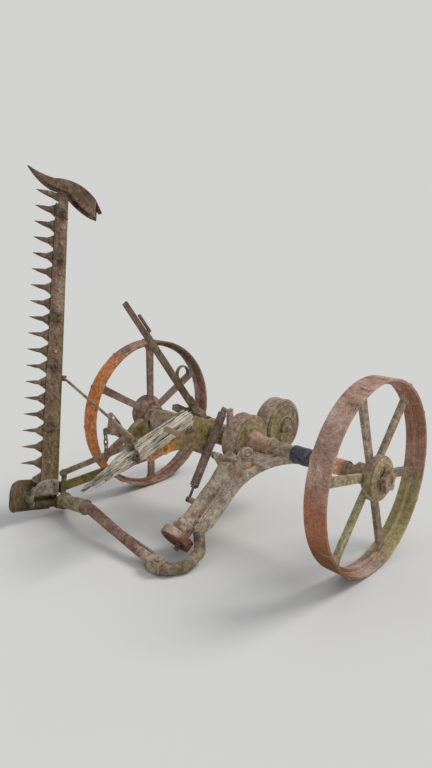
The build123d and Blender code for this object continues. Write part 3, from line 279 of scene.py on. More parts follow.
def rusty(name, deep, middle, pale, fleck=(0.42, 0.15, 0.05), lichen=(0.36, 0.34, 0.12),
          lichen_share=0.35, spots=0.25, roughness=0.85, scale=7.0, mottle=0.58, stains=()):
    """Rusted iron in three tones with flecks, lichen, pale crusts, edges lightened as wear and painted
    highlight, and stains.
    """
    skin, tree, shader = new_skin(name)
    coords = add_node(tree, "TexCoord", {}).outputs
    place = coords["Object"]
    blotch = noise(tree, place, scale, 9.0, 0.68)
    middling = noise(tree, place, scale * 6.5, 8.0, 0.72)
    speck = noise(tree, place, scale * 17, 5.0, 0.75)
    grit = noise(tree, place, GRIT_SCALE, 5.0, 0.85)

    colour = ramp(tree, blotch, [(0.36, deep), (0.50, middle), (0.64, pale)])
    for tint, direction, start, end, share in stains:
        ragged = times(tree, spread(tree, middling, 0.3, 0.7, -1, 1), 0.25 * abs(end - start))
        run = add_node(tree, "Math", {0: dot(tree, place, direction), 1: ragged}).outputs["Value"]
        colour = mix(tree, spread(tree, run, start, end, 0.0, share), colour, tint)
    colour = toned(tree, colour, spread(tree, middling, 0.34, 0.66, 1 - mottle, 1 + mottle))
    colour = mix(tree, spread(tree, speck, 0.56, 0.68, 0.0, 0.7), colour, fleck)
    colour = toned(tree, colour, spread(tree, grit, 0.34, 0.66, 0.5, 1.5))

    steep = add_node(tree, "SeparateXYZ", {"Vector": coords["Normal"]}).outputs["Z"]
    skyward = spread(tree, steep, -0.8, 0.7, 0.25, 0.95)
    patch = noise(tree, place, scale * 1.9, 10.0, 0.78)
    patch_edge = 0.66 - lichen_share * 0.30
    grows = times(tree, spread(tree, patch, patch_edge, patch_edge + 0.09), skyward)
    dim, bright = tuple(0.55 * v for v in lichen), tuple(0.8 * v + 0.05 for v in lichen)
    tufts = mix(tree, spread(tree, speck, 0.4, 0.6), ramp(tree, grit, [(0.3, dim), (0.7, lichen)]), bright)
    colour = mix(tree, grows, colour, tufts)

    cells = add_node(tree, "TexVoronoi", {"Vector": place, "Scale": CRUST_SCALE}).outputs
    in_cell = spread(tree, cells["Distance"], 0.26, 0.18)
    draw = add_node(tree, "SeparateColor", {"Color": cells["Color"]}).outputs["Red"]
    chosen = spread(tree, draw, 1.0 - spots * 0.6, 1.0 - spots * 0.6 + 0.02)
    colour = mix(tree, times(tree, times(tree, in_cell, chosen), 0.55), colour, CRUST)

    # Edges are painted lighter: partly worn metal, partly a painted highlight on edges that catch the light.
    round_edge = add_node(tree, "Bevel", {"Radius": EDGE_RADIUS}, samples=4).outputs["Normal"]
    true_face = add_node(tree, "NewGeometry", {}).outputs["Normal"]
    edge = spread(tree, dot(tree, round_edge, true_face), 0.99, 0.86)
    worn_and_lit_edge = times(tree, edge, spread(tree, middling, 0.35, 0.6, 0.2, 0.75))
    colour = mix(tree, worn_and_lit_edge, colour, tuple(min(1.0, 1.4 * v + 0.07) for v in pale))

    wire(tree, colour, shader, "Base Color")
    dull = spread(tree, speck, 0.35, 0.65, roughness - 0.12, min(1.0, roughness + 0.08))
    wire(tree, dull, shader, "Roughness")
    shader.inputs["Specular IOR Level"].default_value = 0.3
    bumps(tree, shader, ((patch, 0.35, 0.010), (speck, 0.5, 0.004), (grit, 0.5, 0.0015)), round_edge)
    SKINS[name] = skin
    return skin


print("one function for all rusty iron")

# %% [markdown]
# A stain starts at one place and is full at another, both read along its direction. On a wheel
# it lies past a distance from the hub, so only one side of the rim or of the spokes takes it.

# %% Stains
near_hub, far_hub = mm(-HUB_X, 0, AXLE_Z), mm(HUB_X, 0, AXLE_Z)
near_front, near_low_front, near_under = (0, 0.9, -0.436), (0, 0.66, -0.751), (0, -0.05, -0.999)
near_back, near_top_back = (0, -0.72, -0.69), (0, -0.8, 0.6)
far_front, far_top_back = (0, 0.995, 0.1), (0, -0.5, 0.866)


def band(tint, direction, start, end, share):
    """A stain that grows along a direction, from one place to another."""
    reach = Vector(direction)
    return tint, direction, reach.dot(start), reach.dot(end), share


def arc(tint, direction, hub, start, end, share):
    """A stain on the part of a wheel that lies past a distance from the hub, in metres."""
    middle = Vector(direction).dot(hub)
    return tint, direction, middle + start, middle + end, share


print("stains for wheels and castings")

# %% [markdown]
# The near wheel's tread is pink-brown, with orange and dark brown low in front, and its back is
# green. The far wheel keeps a bright orange front, its spokes are plain brown, and its base tones
# are darker than the near wheel's as painted shade, for its inner side that stands in shade.

# %% Skins of the wheels
GREEN = (0.36, 0.345, 0.125)
ORANGE = (0.66, 0.23, 0.07)
rusty("near_wheel_rust", (0.30, 0.165, 0.12), (0.45, 0.275, 0.21), (0.56, 0.385, 0.31),
      fleck=(0.36, 0.15, 0.08), lichen_share=0.10, spots=0.06, mottle=0.36, stains=(
          arc((0.37, 0.13, 0.062), near_front, near_hub, 0.30, 0.365, 0.85),
          arc((0.17, 0.072, 0.022), near_low_front, near_hub, 0.33, 0.375, 0.92),
          arc((0.31, 0.255, 0.21), near_under, near_hub, 0.345, 0.387, 0.75),
          arc((0.34, 0.15, 0.09), near_top_back, near_hub, 0.27, 0.36, 0.6),
          arc(GREEN, near_back, near_hub, 0.29, 0.35, 0.7)))
# The far wheel's darker base tones are painted shade: its inner side is in shade.
rusty("far_wheel_rust", (0.16, 0.085, 0.065), (0.27, 0.155, 0.115), (0.38, 0.25, 0.19),
      lichen_share=0.15, spots=0.08, stains=(
          arc(ORANGE, far_front, far_hub, 0.20, 0.29, 0.92),
          arc((0.105, 0.08, 0.045), far_top_back, far_hub, 0.27, 0.36, 0.7)))
rusty("spoke_lichen", (0.22, 0.15, 0.105), (0.34, 0.255, 0.19), (0.45, 0.36, 0.28),
      lichen=(0.40, 0.39, 0.12), lichen_share=0.26, spots=0.1, stains=(
          arc((0.34, 0.30, 0.13), near_front, near_hub, 0.035, 0.075, 0.55),
          arc((0.40, 0.38, 0.20), (0, 0.5, -0.866), near_hub, 0.10, 0.30, 0.85),
          arc((0.22, 0.155, 0.11), (0, -0.5, -0.866), near_hub, 0.07, 0.14, 0.75)))
rusty("spoke_rust", (0.13, 0.08, 0.058), (0.225, 0.145, 0.108), (0.34, 0.24, 0.185),
      lichen_share=0.25, spots=0.1)
print(len(SKINS), "skins on the wheels")

# %% [markdown]
# The frame's castings are grey-brown and full of lichen, the cutter bar and its guards are dark,
# and the draft bracket turns orange towards its front end.

# %% Skins of the castings and bars
crank_way = (0, 0.574, 0.819)
bar_back, arm_back = bar_way(0, -1, 0), arm_way(0, -1, 0)
rusty("case_iron", (0.21, 0.145, 0.105), (0.33, 0.24, 0.18), (0.43, 0.33, 0.26),
      lichen=(0.34, 0.32, 0.12), lichen_share=0.24, spots=0.2)
rusty("crank_red", (0.16, 0.07, 0.045), (0.26, 0.125, 0.085), (0.38, 0.25, 0.19),
      lichen_share=0.15, stains=(
          band((0.46, 0.36, 0.29), crank_way, on_arm(0, 551, 40), on_arm(0, 551, 66), 0.85),))
rusty("arm_iron", (0.26, 0.195, 0.14), (0.40, 0.32, 0.24), (0.51, 0.42, 0.335),
      lichen=(0.38, 0.35, 0.17), lichen_share=0.28, spots=0.65, stains=(
          band((0.53, 0.44, 0.35), arm_back, on_arm(0, 330, 0), on_arm(0, 250, 0), 0.55),))
rusty("bar_steel", (0.12, 0.073, 0.053), (0.22, 0.148, 0.11), (0.32, 0.235, 0.18),
      lichen=(0.25, 0.21, 0.06), lichen_share=0.22, spots=0.15, scale=9.0, stains=(
          band((0.215, 0.16, 0.075), bar_back, mm(727, 568, 249), mm(727, 561, 247), 0.55),
          band((0.10, 0.08, 0.042), bar_back, mm(727, 548, 243.6), mm(727, 543, 242.3), 0.7),
          band((0.235, 0.195, 0.06), down, mm(0, 0, 640), mm(0, 0, 330), 0.42)))
rusty("guard_iron", (0.075, 0.052, 0.037), (0.14, 0.10, 0.068), (0.24, 0.17, 0.115),
      lichen=(0.23, 0.21, 0.07), lichen_share=0.35)
rusty("knife_steel", (0.12, 0.082, 0.048), (0.20, 0.142, 0.085), (0.29, 0.22, 0.145),
      lichen_share=0.15)
rusty("divider_rust", (0.075, 0.042, 0.03), (0.13, 0.078, 0.053), (0.22, 0.14, 0.10),
      lichen_share=0.20, spots=0.05)
rusty("worn_steel", (0.15, 0.11, 0.08), (0.26, 0.19, 0.14), (0.40, 0.33, 0.26),
      lichen_share=0.1, roughness=0.7)
rusty("olive_bar", (0.105, 0.075, 0.028), (0.185, 0.138, 0.047), (0.285, 0.225, 0.088),
      lichen=(0.33, 0.28, 0.07), lichen_share=0.42, spots=0.1)
rusty("lever_iron", (0.10, 0.068, 0.045), (0.17, 0.125, 0.08), (0.26, 0.205, 0.135),
      lichen=(0.26, 0.25, 0.09), lichen_share=0.32, stains=(
          band((0.155, 0.09, 0.075), up, mm(0, 0, 880), mm(0, 0, 960), 0.85),))
rusty("spring_steel", (0.12, 0.073, 0.056), (0.21, 0.135, 0.105), (0.32, 0.22, 0.175),
      lichen_share=0.1, spots=0.1)
rusty("bracket_orange", (0.19, 0.145, 0.055), (0.32, 0.245, 0.10), (0.42, 0.33, 0.17),
      lichen=(0.42, 0.39, 0.12), lichen_share=0.35, stains=(
          band((0.86, 0.36, 0.10), ahead, mm(0, 240, 0), mm(0, 292, 0), 0.85),
          band((0.70, 0.36, 0.20), ahead, mm(0, 312, 0), mm(0, 345, 0), 0.9)))
rusty("rod_iron", (0.16, 0.11, 0.075), (0.26, 0.19, 0.135), (0.37, 0.29, 0.215),
      lichen_share=0.28)
rusty("bolt_rust", (0.18, 0.09, 0.06), (0.33, 0.19, 0.13), (0.54, 0.38, 0.28),
      lichen_share=0.1, scale=20.0)
rusty("fresh_rust", (0.26, 0.12, 0.06), (0.46, 0.22, 0.10), (0.66, 0.38, 0.20),
      fleck=(0.75, 0.36, 0.10), lichen_share=0.1, scale=24.0)
print(len(SKINS), "iron skins so far")

# %% [markdown]
# The pole is old ash or oak, silver from the weather. Long grain comes from noise stretched
# hard along the pole, and dark cracks from a second, coarser noise stretched in the same way.
# Green creeps into it in patches, and its thin front end is darker, where the wet gets in.

# %% Skin of the old wood
skin, tree, shader = new_skin("weathered_wood")
place = add_node(tree, "TexCoord", {}).outputs["Object"]
turned = add_node(tree, "Mapping", {"Vector": place, "Rotation": (math.radians(17.3), 0, 0)}).outputs[0]
grains = []
for scale, stretch, rough in ((270.0, 0.085, 0.75), (105.0, 0.05, 0.65)):
    squeeze = add_node(tree, "Mapping", {"Vector": turned, "Scale": (1.0, stretch, 1.0)}).outputs[0]
    grains.append(noise(tree, squeeze, scale, 7.0, rough))
fine, broad = grains
colour = ramp(tree, fine, [(0.36, (0.12, 0.085, 0.055)), (0.435, (0.44, 0.375, 0.285)),
                           (0.515, (0.72, 0.64, 0.51)), (0.61, (0.99, 0.93, 0.80))])
colour = mix(tree, spread(tree, broad, 0.45, 0.415), colour, (0.07, 0.05, 0.035))
colour = toned(tree, colour, spread(tree, noise(tree, place, 11.0), 0.35, 0.65, 0.85, 1.15))
green = spread(tree, noise(tree, place, 17.0, 8.0, 0.75), 0.58, 0.70, 0.0, 0.5)
colour = mix(tree, green, colour, (0.24, 0.23, 0.11))
ahead_on_pole = add_node(tree, "SeparateXYZ", {"Vector": place}).outputs["Y"]
damp = spread(tree, ahead_on_pole, on_pole(0, 380, 0).y, on_pole(0, 540, 0).y, 0.0, 0.6)
wire(tree, mix(tree, damp, colour, (0.12, 0.105, 0.085)), shader, "Base Color")
shader.inputs["Roughness"].default_value = 0.92
shader.inputs["Specular IOR Level"].default_value = 0.2
bumps(tree, shader, ((broad, 0.9, 0.010), (fine, 0.8, 0.004)))
SKINS["weathered_wood"] = skin
print("wood ready")

# %% [markdown]
# The tape round the axle tube is black plastic, dull where it is dusty, with a blue cast.

# %% Skin of the tape
skin, tree, shader = new_skin("black_tape")
place = add_node(tree, "TexCoord", {}).outputs["Object"]
dust = noise(tree, place, 45.0, 6.0, 0.7)
colour = ramp(tree, dust, [(0.38, (0.012, 0.014, 0.02)), (0.55, (0.05, 0.058, 0.075)),
                           (0.68, (0.17, 0.18, 0.20))])
wire(tree, colour, shader, "Base Color")
wire(tree, spread(tree, dust, 0.35, 0.65, 0.35, 0.65), shader, "Roughness")
SKINS["black_tape"] = skin

slot_of = {s["node"]: s["material_slot"] for s in frame["record"]["subparts"]}
for name, node in nodes.items():
    for slot in node.material_slots:
        slot.material = SKINS[slot_of[name]]
print("tape ready, skins on", len(nodes), "nodes")

# %% [markdown]
# Some castings wear more than one tone: the axle tube runs from a rust-red boss to bare grey
# pipe and an orange end, and the drums are pink-brown round the rim but olive on their faces.
# Such a piece gets a skin of its own, with stains where its tone changes.

# %% Two-toned castings
TUBE_TONES = [band(tint, way, mm(start, 0, 0), mm(end, 0, 0), share) for tint, way, start, end, share in (
    ((0.40, 0.25, 0.18), right, -166, -160, 0.85), ((0.42, 0.38, 0.16), left, -163, -168, 0.5),
    ((0.30, 0.235, 0.175), left, -176, -182, 0.9), ((0.74, 0.36, 0.21), left, -385, -420, 0.95),
    ((0.27, 0.19, 0.14), left, -520, -545, 0.95))]
OWN_SKINS = {
    "left_axle_tube": rusty(
        "tube_iron", (0.20, 0.12, 0.08), (0.30, 0.20, 0.14), (0.42, 0.30, 0.22),
        lichen_share=0.18, spots=0.1, stains=TUBE_TONES),
    "front_gear_cover": rusty(
        "cover_olive", (0.17, 0.13, 0.07), (0.27, 0.215, 0.115), (0.37, 0.30, 0.18),
        lichen=(0.38, 0.36, 0.11), lichen_share=0.30, spots=0.2, stains=(
            band((0.34, 0.31, 0.09), down, mm(0, 0, 400), mm(0, 0, 320), 0.5),)),
    "rear_gear_cover": rusty(
        "rear_cover_dark", (0.13, 0.10, 0.06), (0.22, 0.175, 0.105), (0.32, 0.26, 0.17),
        lichen=(0.36, 0.36, 0.09), lichen_share=0.34, stains=(
            band((0.33, 0.32, 0.09), ahead, mm(0, -205, 0), mm(0, -150, 0), 0.75),
            band((0.62, 0.30, 0.15), down, mm(0, 0, 345), mm(0, 0, 300), 0.6))),
    "drag_bar": rusty(
        "drag_bar_red", (0.15, 0.08, 0.06), (0.25, 0.15, 0.115), (0.36, 0.24, 0.19),
        lichen_share=0.2, spots=0.15),
    "drag_sleeve": rusty(
        "sleeve_olive", (0.21, 0.165, 0.11), (0.34, 0.275, 0.19), (0.45, 0.38, 0.275),
        lichen_share=0.28, spots=0.2),
    "drag_yoke": rusty(
        "yoke_olive", (0.13, 0.10, 0.05), (0.24, 0.20, 0.10), (0.36, 0.32, 0.16),
        lichen=(0.42, 0.38, 0.12), lichen_share=0.5),
    "inner_shoe": rusty(
        "shoe_dark", (0.07, 0.049, 0.026), (0.12, 0.087, 0.045), (0.20, 0.15, 0.085),
        lichen_share=0.25, spots=0.1),
    "shoe_arch": rusty(
        "arch_iron", (0.15, 0.125, 0.095), (0.25, 0.212, 0.17), (0.35, 0.305, 0.25),
        lichen_share=0.2),
    "drag_hook": rusty(
        "hook_olive", (0.125, 0.092, 0.058), (0.21, 0.163, 0.108), (0.31, 0.25, 0.175),
        lichen=(0.34, 0.31, 0.14), lichen_share=0.32, spots=0.4),
    "foot_pedal": rusty(
        "pedal_red", (0.15, 0.085, 0.06), (0.25, 0.155, 0.12), (0.36, 0.25, 0.20),
        lichen_share=0.2),
    "lift_sector": rusty(
        "sector_olive", (0.16, 0.12, 0.055), (0.27, 0.215, 0.11), (0.38, 0.31, 0.18),
        lichen=(0.38, 0.35, 0.11), lichen_share=0.36),
    "right_axle_housing": rusty(
        "housing_olive", (0.16, 0.12, 0.055), (0.27, 0.215, 0.105), (0.37, 0.31, 0.17),
        lichen=(0.37, 0.36, 0.10), lichen_share=0.40),
    "left_hub_cap": rusty(
        "cap_brown", (0.27, 0.19, 0.10), (0.40, 0.305, 0.17), (0.52, 0.42, 0.26),
        lichen=(0.37, 0.34, 0.11), lichen_share=0.24, spots=0.1),
    "left_axle_collar": rusty(
        "collar_brown", (0.20, 0.13, 0.085), (0.31, 0.215, 0.145), (0.42, 0.31, 0.22),
        lichen_share=0.2, spots=0.1),
}
for name, skin in OWN_SKINS.items():
    for slot in nodes[name].material_slots:
        slot.material = skin
print(len(OWN_SKINS), "castings with a skin of their own")

# %% [markdown]
# All shaping is done in edit mode, on faces picked by where they are and which way they look.
# Most pieces start as a cylinder, whose ends are bevelled, or drawn up in steps as on a lathe.

# %% Picking and shaping faces


def clear():
    """Nothing is selected."""
    bpy.ops.object.select_all(action="DESELECT")


def start_edit():
    """Goes into edit mode by faces, with none selected."""
    bpy.ops.object.mode_set(mode="EDIT")
    bpy.ops.mesh.select_mode(type="FACE")
    bpy.ops.mesh.select_all(action="DESELECT")


def end_edit():
    """Goes back to object mode."""
    bpy.ops.object.mode_set(mode="OBJECT")


def choose(piece, test):
    """In edit mode, selects the faces whose centre and normal pass a test."""
    mesh = bmesh.from_edit_mesh(piece.data)
    for face in mesh.faces:
        face.select_set(bool(test(face.calc_center_median(), face.normal)))
    bmesh.update_edit_mesh(piece.data)


def looks_up(centre, normal):
    """True for a face that looks up."""
    return normal.z > 0.9


def is_end(centre, normal):
    """True for the two ends of a standing cylinder."""
    return abs(normal.z) > 0.9


def draw_up(rise):
    """Extrudes the chosen faces upwards."""
    bpy.ops.mesh.extrude_region_move(TRANSFORM_OT_translate={"value": (0, 0, rise)})


def cylinder(vertices, radius, height, low=0.0):
    """A plain cylinder that stands at a height, the start of a turned piece."""
    clear()
    bpy.ops.mesh.primitive_cylinder_add(vertices=vertices, radius=radius, depth=height,
                                        location=(0, 0, low + height / 2))
    bpy.ops.object.transform_apply(location=True, rotation=True, scale=True)
    return bpy.context.object


def bevelled(piece, test, width, steps):
    """Bevels the faces that pass a test."""
    start_edit()
    choose(piece, test)
    bpy.ops.mesh.bevel(offset=width, segments=steps)
    end_edit()
    return piece


def knob(piece, steps):
    """Draws the top face up in steps of (shrink, rise), as a lathe would turn a knob."""
    start_edit()
    for shrink, rise in steps:
        choose(piece, looks_up)
        draw_up(rise)
        bpy.ops.transform.resize(value=(shrink, shrink, 1), center_override=(0, 0, 0))
    end_edit()
    return piece


print("helpers for shaping ready")

# %% [markdown]
# A shape is modelled upright at the origin and then moved to its place, inside its mesh. A
# finished piece gets its name, its skin, the body that it rides on, and smooth shading between
# faces that meet at a small angle.

# %% Placing, joining and finishing


def copied(piece):
    """A copy of a piece with its own mesh."""
    copy = bpy.data.objects.new(piece.name, piece.data.copy())
    scene.collection.objects.link(copy)
    return copy


def facing(outward):
    """The turn that lays a model's z axis along a direction."""
    return Vector(outward).to_track_quat("Z", "Y").to_matrix().to_4x4()


def stand(piece, at, outward):
    """Moves a piece from the origin to a place, its z axis along a direction."""
    piece.data.transform(Matrix.Translation(at) @ facing(outward))
    return piece


def joined(pieces):
    """Several pieces as one mesh, which is the first one's."""
    clear()
    for piece in pieces:
        piece.select_set(True)
    bpy.context.view_layer.objects.active = pieces[0]
    if len(pieces) > 1:
        bpy.ops.object.join()
    return pieces[0]


def put_on(piece, name, body, skin, angle=40):
    """Gives a finished piece its name, skin, body and smooth shading."""
    piece.name = name
    piece.data.materials.clear()
    piece.data.materials.append(skin if not isinstance(skin, str) else SKINS[skin])
    clear()
    piece.select_set(True)
    bpy.context.view_layer.objects.active = piece
    bpy.ops.object.shade_smooth_by_angle(angle=math.radians(angle))
    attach(piece, body)
    return piece


print("helpers for placing and finishing ready")

# %% [markdown]
# Small hardware is modelled once, lying on the ground plane with a radius of about one, and
# then stamped wherever the machine has it. A square head on a washer is what held such machines
# together; the round one is a carriage bolt in the cutter bar, the low one a rivet in a knife
# section, and the nut shows the end of its thread.

# %% Masters of the small hardware
MASTERS = []


def master(piece, name):
    """Puts a finished model aside, to be copied from."""
    piece.name = name
    MASTERS.append(piece)
    return piece


plate = bevelled(cylinder(20, 1.35, 0.28), looks_up, 0.28 * 0.4, 1)
clear()
bpy.ops.mesh.primitive_cube_add(size=1, location=(0, 0, 0.68), scale=(1.7, 1.7, 0.9))
head = bevelled(bpy.context.object, looks_up, 0.16, 2)
SQUARE = master(joined([plate, head]), "square_head")

plate = bevelled(cylinder(20, 1.45, 0.25), looks_up, 0.25 * 0.4, 1)
nut = bevelled(cylinder(6, 1.12, 0.9, 0.23), looks_up, 0.12, 1)
start_edit()
choose(nut, looks_up)
bpy.ops.mesh.inset(thickness=0.42)
draw_up(0.55)
bpy.ops.mesh.bevel(offset=0.10, segments=1)
end_edit()
NUT = master(joined([plate, nut]), "nut_and_thread")

DOME = master(knob(cylinder(14, 1.0, 0.2), ((0.90, 0.20), (0.70, 0.17), (0.45, 0.09))), "carriage_head")
RIVET = master(bevelled(cylinder(10, 1.0, 0.3), looks_up, 0.3, 2), "rivet")
print(len(MASTERS), "masters,", [len(m.data.polygons) for m in MASTERS], "faces")

# %% [markdown]
# Each group of bolts is one list of spots: where the head sits, which way it faces and its size
# in millimetres. The copies take a random turn, because no two heads were ever tightened alike,
# and become one mesh on the body that carries them. Along the bar all follow the knife's pitch.

# %% Bolts and rivets of the bar
dice = random.Random(7)


def stamp(model, spots, name, body, skin):
    """Copies a model to every spot, (place, outward way, size), as one joined mesh."""
    copies = []
    for at, outward, size in spots:
        copy = copied(model)
        spin = Matrix.Rotation(dice.uniform(0, math.tau), 4, "Z")
        copy.data.transform(Matrix.Translation(at) @ facing(outward) @ spin @ Matrix.Scale(size / 1000, 4))
        copies.append(copy)
    return put_on(joined(copies), name, body, skin)


FIRST, PITCH = 119, 76.2
GUARDS = [FIRST + PITCH * k for k in range(1, 19)]
SECTIONS = [FIRST + PITCH * k for k in range(18)]
CLIPS = (370, 678, 900, 1200, 1413)
bar_up, bar_down = bar_way(0, 0, 1), bar_way(0, 0, -1)
stamp(DOME, [(on_bar(x, 1, 4.5), bar_up, 9.5) for x in GUARDS], "guard_bolt_heads",
      "cutter_bar", SKINS["bolt_rust"])
stamp(NUT, [(on_bar(x, 2, -13.3), bar_down, 8.5) for x in GUARDS], "guard_nuts", "cutter_bar", "guard_iron")
stamp(RIVET, [(on_bar(x + side, 35, 14.4), bar_up, 5.0) for x in SECTIONS for side in (-19, 19)],
      "section_rivets", "knife", "knife_steel")
stamp(SQUARE, [(on_bar(x + side, 2, 20.4), bar_up, 6.5) for x in CLIPS for side in (-13, 13)],
      "clip_bolts", "cutter_bar", "guard_iron")
print("hardware on", len(GUARDS), "guards,", len(SECTIONS), "sections and", len(CLIPS), "clips")

# %% [markdown]
# The frame has square heads along its arm and nuts on the ends of its shafts and pins. Each hub
# cap is held by five small bolts, and the shoes at both ends of the bar by two bolts each.

# %% Bolts and nuts of the frame, caps and shoes
arm_up = arm_way(0, 0, 1)
stamp(SQUARE, [
    (on_arm(-62, 172, 25.5), arm_way(-0.6, 0, 0.8), 9), (on_arm(-97, 176, 1.8), arm_up, 9),
    (on_arm(-73, 420, 1.8), arm_up, 8.5), (on_arm(-71, 446, 1.8), arm_up, 8.5),
    (on_arm(-140, 108, 1.8), arm_up, 9), (on_arm(-210, 40, 1.8), arm_up, 8),
    (on_arm(-52, 428, 26), arm_way(-0.65, 0, 0.75), 8), (on_arm(-29, 503, 41.6), arm_up, 8.5),
    (on_arm(-68, 505, 14), arm_way(-0.94, 0, 0.33), 8), (on_arm(8, 505, 17), arm_way(0.94, 0, 0.4), 8),
], "arm_bolts", "frame", SKINS["bolt_rust"])
stamp(NUT, [
    (on_arm(-163, 162, 66), left, 11), (on_arm(24, 162, 66), right, 11),
    (mm(-76.0, -240, 409), left, 13), (mm(170, 166, 447), left, 13), (mm(204, 166, 447), right, 12),
    (mm(474, 352, 406), right, 11), (mm(210, 164, 350), right, 11), (mm(74, 164, 350), left, 11),
], "frame_nuts", "frame", "rod_iron")
CAP_X, CAP_BOLTS = 711, 52
CAPS = (("left", -1, left, SKINS["cap_brown"], (0.35, 1.6, 2.86, 4.1, 5.4)),
        ("right", 1, right, "spoke_rust", (0.1, 1.36, 2.6, 3.9, 5.1)))
for name, side, outward, skin, angles in CAPS:
    stamp(SQUARE, [(mm(side * CAP_X, CAP_BOLTS * math.cos(a), AXLE_Z + CAP_BOLTS * math.sin(a)), outward, 5.0)
                   for a in angles], name + "_cap_bolts", name + "_wheel", skin)
stamp(SQUARE, [(on_bar(66, -30, 31.3), bar_up, 9), (on_bar(94, -22, 31.3), bar_up, 8),
               (on_bar(1546, 10, 26), bar_up, 8), (on_bar(1520, -20, 26), bar_up, 7)],
      "shoe_bolts", "cutter_bar", "guard_iron")
print("small hardware stamped")

# %% [markdown]
# A turned ring is drawn the way a lathe makes it: one small outline is spun about the axis. The
# drums have a bead at each edge of their rim, cast to stiffen it, and each hub cap a fine one.

# %% Beads round the drums and caps
REAR_Y, REAR_Z = -240, 409


def outline(size):
    """Eight points round a small circle, stood upright, still chosen in edit mode."""
    clear()
    bpy.ops.mesh.primitive_circle_add(vertices=8, radius=size, fill_type="NOTHING", location=(0, 0, 0))
    start_edit()
    bpy.ops.mesh.select_all(action="SELECT")
    bpy.ops.transform.rotate(value=math.radians(90), orient_axis="X", center_override=(0, 0, 0))
    return bpy.context.object


def faces_out():
    """In edit mode, turns all faces outwards."""
    bpy.ops.mesh.select_all(action="SELECT")
    bpy.ops.mesh.normals_make_consistent(inside=False)


def ring(at, outward, radius, thick, wide, steps=48):
    """A closed ring round an axis: half thickness outward from the radius, half width along it."""
    piece = outline(1)
    bpy.ops.transform.resize(value=(thick, 1, wide), center_override=(0, 0, 0))
    bpy.ops.transform.translate(value=(radius, 0, 0))
    bpy.ops.mesh.spin(steps=steps, angle=math.tau, center=(0, 0, 0), axis=(0, 0, 1))
    bpy.ops.mesh.select_all(action="SELECT")
    bpy.ops.mesh.remove_doubles(threshold=0.00001)
    faces_out()
    end_edit()
    return stand(piece, at, outward)


beads = [ring(mm(x, y, z), left, radius, 0.0025, 0.0045)
         for y, z, radius in ((0, AXLE_Z, 0.120), (REAR_Y, REAR_Z, 0.134)) for x in (-40, 20)]
put_on(joined(beads), "drum_beads", "frame", "case_iron")
for name, side, outward, skin, _ in CAPS:
    cap_ring = ring(mm(side * CAP_X, 0, AXLE_Z), outward, 0.0605, 0.0022, 0.0016)
    put_on(cap_ring, name + "_cap_bead", name + "_wheel", skin)
print("beads in place")

# %% [markdown]
# Castings carry round lumps: the clamp's eye with its fresh orange nuts, the ratchet on the rear
# drum, and the beads where the drag bar enters its sleeve. An eye starts as a cylinder, its rims
# are bevelled round, and its outer face is stepped in and out by inset and extrude.

# %% Eyes, ratchet and sleeve beads


def eye(at, outward, radius, thick):
    """A round cast eye, centred on a place, with a stepped outer face."""
    piece = bevelled(cylinder(28, radius, thick, -thick / 2), is_end, radius * 0.28, 3)
    start_edit()
    for share, rise in ((0.16, -0.14), (0.12, 0.34), (0.10, -0.10)):
        choose(piece, lambda centre, normal: normal.z > 0.9 and centre.xy.length < radius * 0.02)
        bpy.ops.mesh.inset(thickness=radius * share)
        draw_up(radius * rise)
    end_edit()
    return stand(piece, at, outward)


clamp_way = (-0.82, 0.42, 0.38)
put_on(joined([eye(mm(-148, 150, 400), clamp_way, 0.028, 0.036),
               eye(mm(-152, 168, 357), left, 0.022, 0.026)]), "clamp_eyes", "frame", "case_iron")
stamp(NUT, [(mm(-166, 170, 356), left, 12), (on_arm(-93, 175, 1.8), arm_up, 10),
            (on_arm(-118, 190, 1.8), arm_up, 9)], "clamp_nuts", "frame", SKINS["fresh_rust"])
ratchet = [ring(mm(-66, REAR_Y, REAR_Z), left, 0.034, 0.005, 0.007, 28),
           ring(mm(-56, REAR_Y, REAR_Z), left, 0.111, 0.004, 0.005, 56),
           ring(mm(-63, REAR_Y, REAR_Z), left, 0.056, 0.003, 0.004, 36)]
put_on(joined(ratchet), "ratchet_rings", "frame", "case_iron")
sleeve_end = mm(672, 551, 60)
sleeve_in = (mm(425, 568, 104) - sleeve_end).normalized()
collars = [ring(sleeve_end + sleeve_in * back, sleeve_in, radius, 0.0035, 0.0045, 40)
           for back, radius in ((0.012, 0.0385), (0.036, 0.0325), (0.215, 0.0325))]
put_on(joined(collars), "sleeve_beads", "frame", "olive_bar")
print("eyes and beads in place")

# %% [markdown]
# The lift spring is a close coil of round steel. A short ring of points, the wire's section, is
# swept up the spring's axis by a Screw modifier, which is how a spring is wound on a lathe.

# %% Lift spring
SPRING_TOP, SPRING_LOW = mm(55, 80, 525), mm(55, 268, 225)
COIL_R, COIL_WIRE, COIL_PITCH = 0.021, 0.0043, 0.0090
spring_run = SPRING_LOW - SPRING_TOP
spring = outline(COIL_WIRE)
bpy.ops.transform.translate(value=(COIL_R - COIL_WIRE, 0, 0))
end_edit()
coil = spring.modifiers.new("coil", "SCREW")
coil.axis = "Z"
coil.angle = math.tau
coil.screw_offset = COIL_PITCH
coil.iterations = int(spring_run.length / COIL_PITCH)
coil.steps = coil.render_steps = 20
bpy.ops.object.modifier_apply(modifier="coil")
start_edit()
faces_out()
end_edit()
stand(spring, SPRING_TOP, spring_run)
put_on(spring, "lift_spring_coils", "frame", "spring_steel", angle=50)
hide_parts("lift_spring")
print("spring has", len(spring.data.polygons), "faces")

# %% [markdown]
# The chain hangs from the rocker. One link is a round bar bent into a ring, with its two halves
# pulled apart to make the long oval; every second copy is turned a quarter, as real links lie.

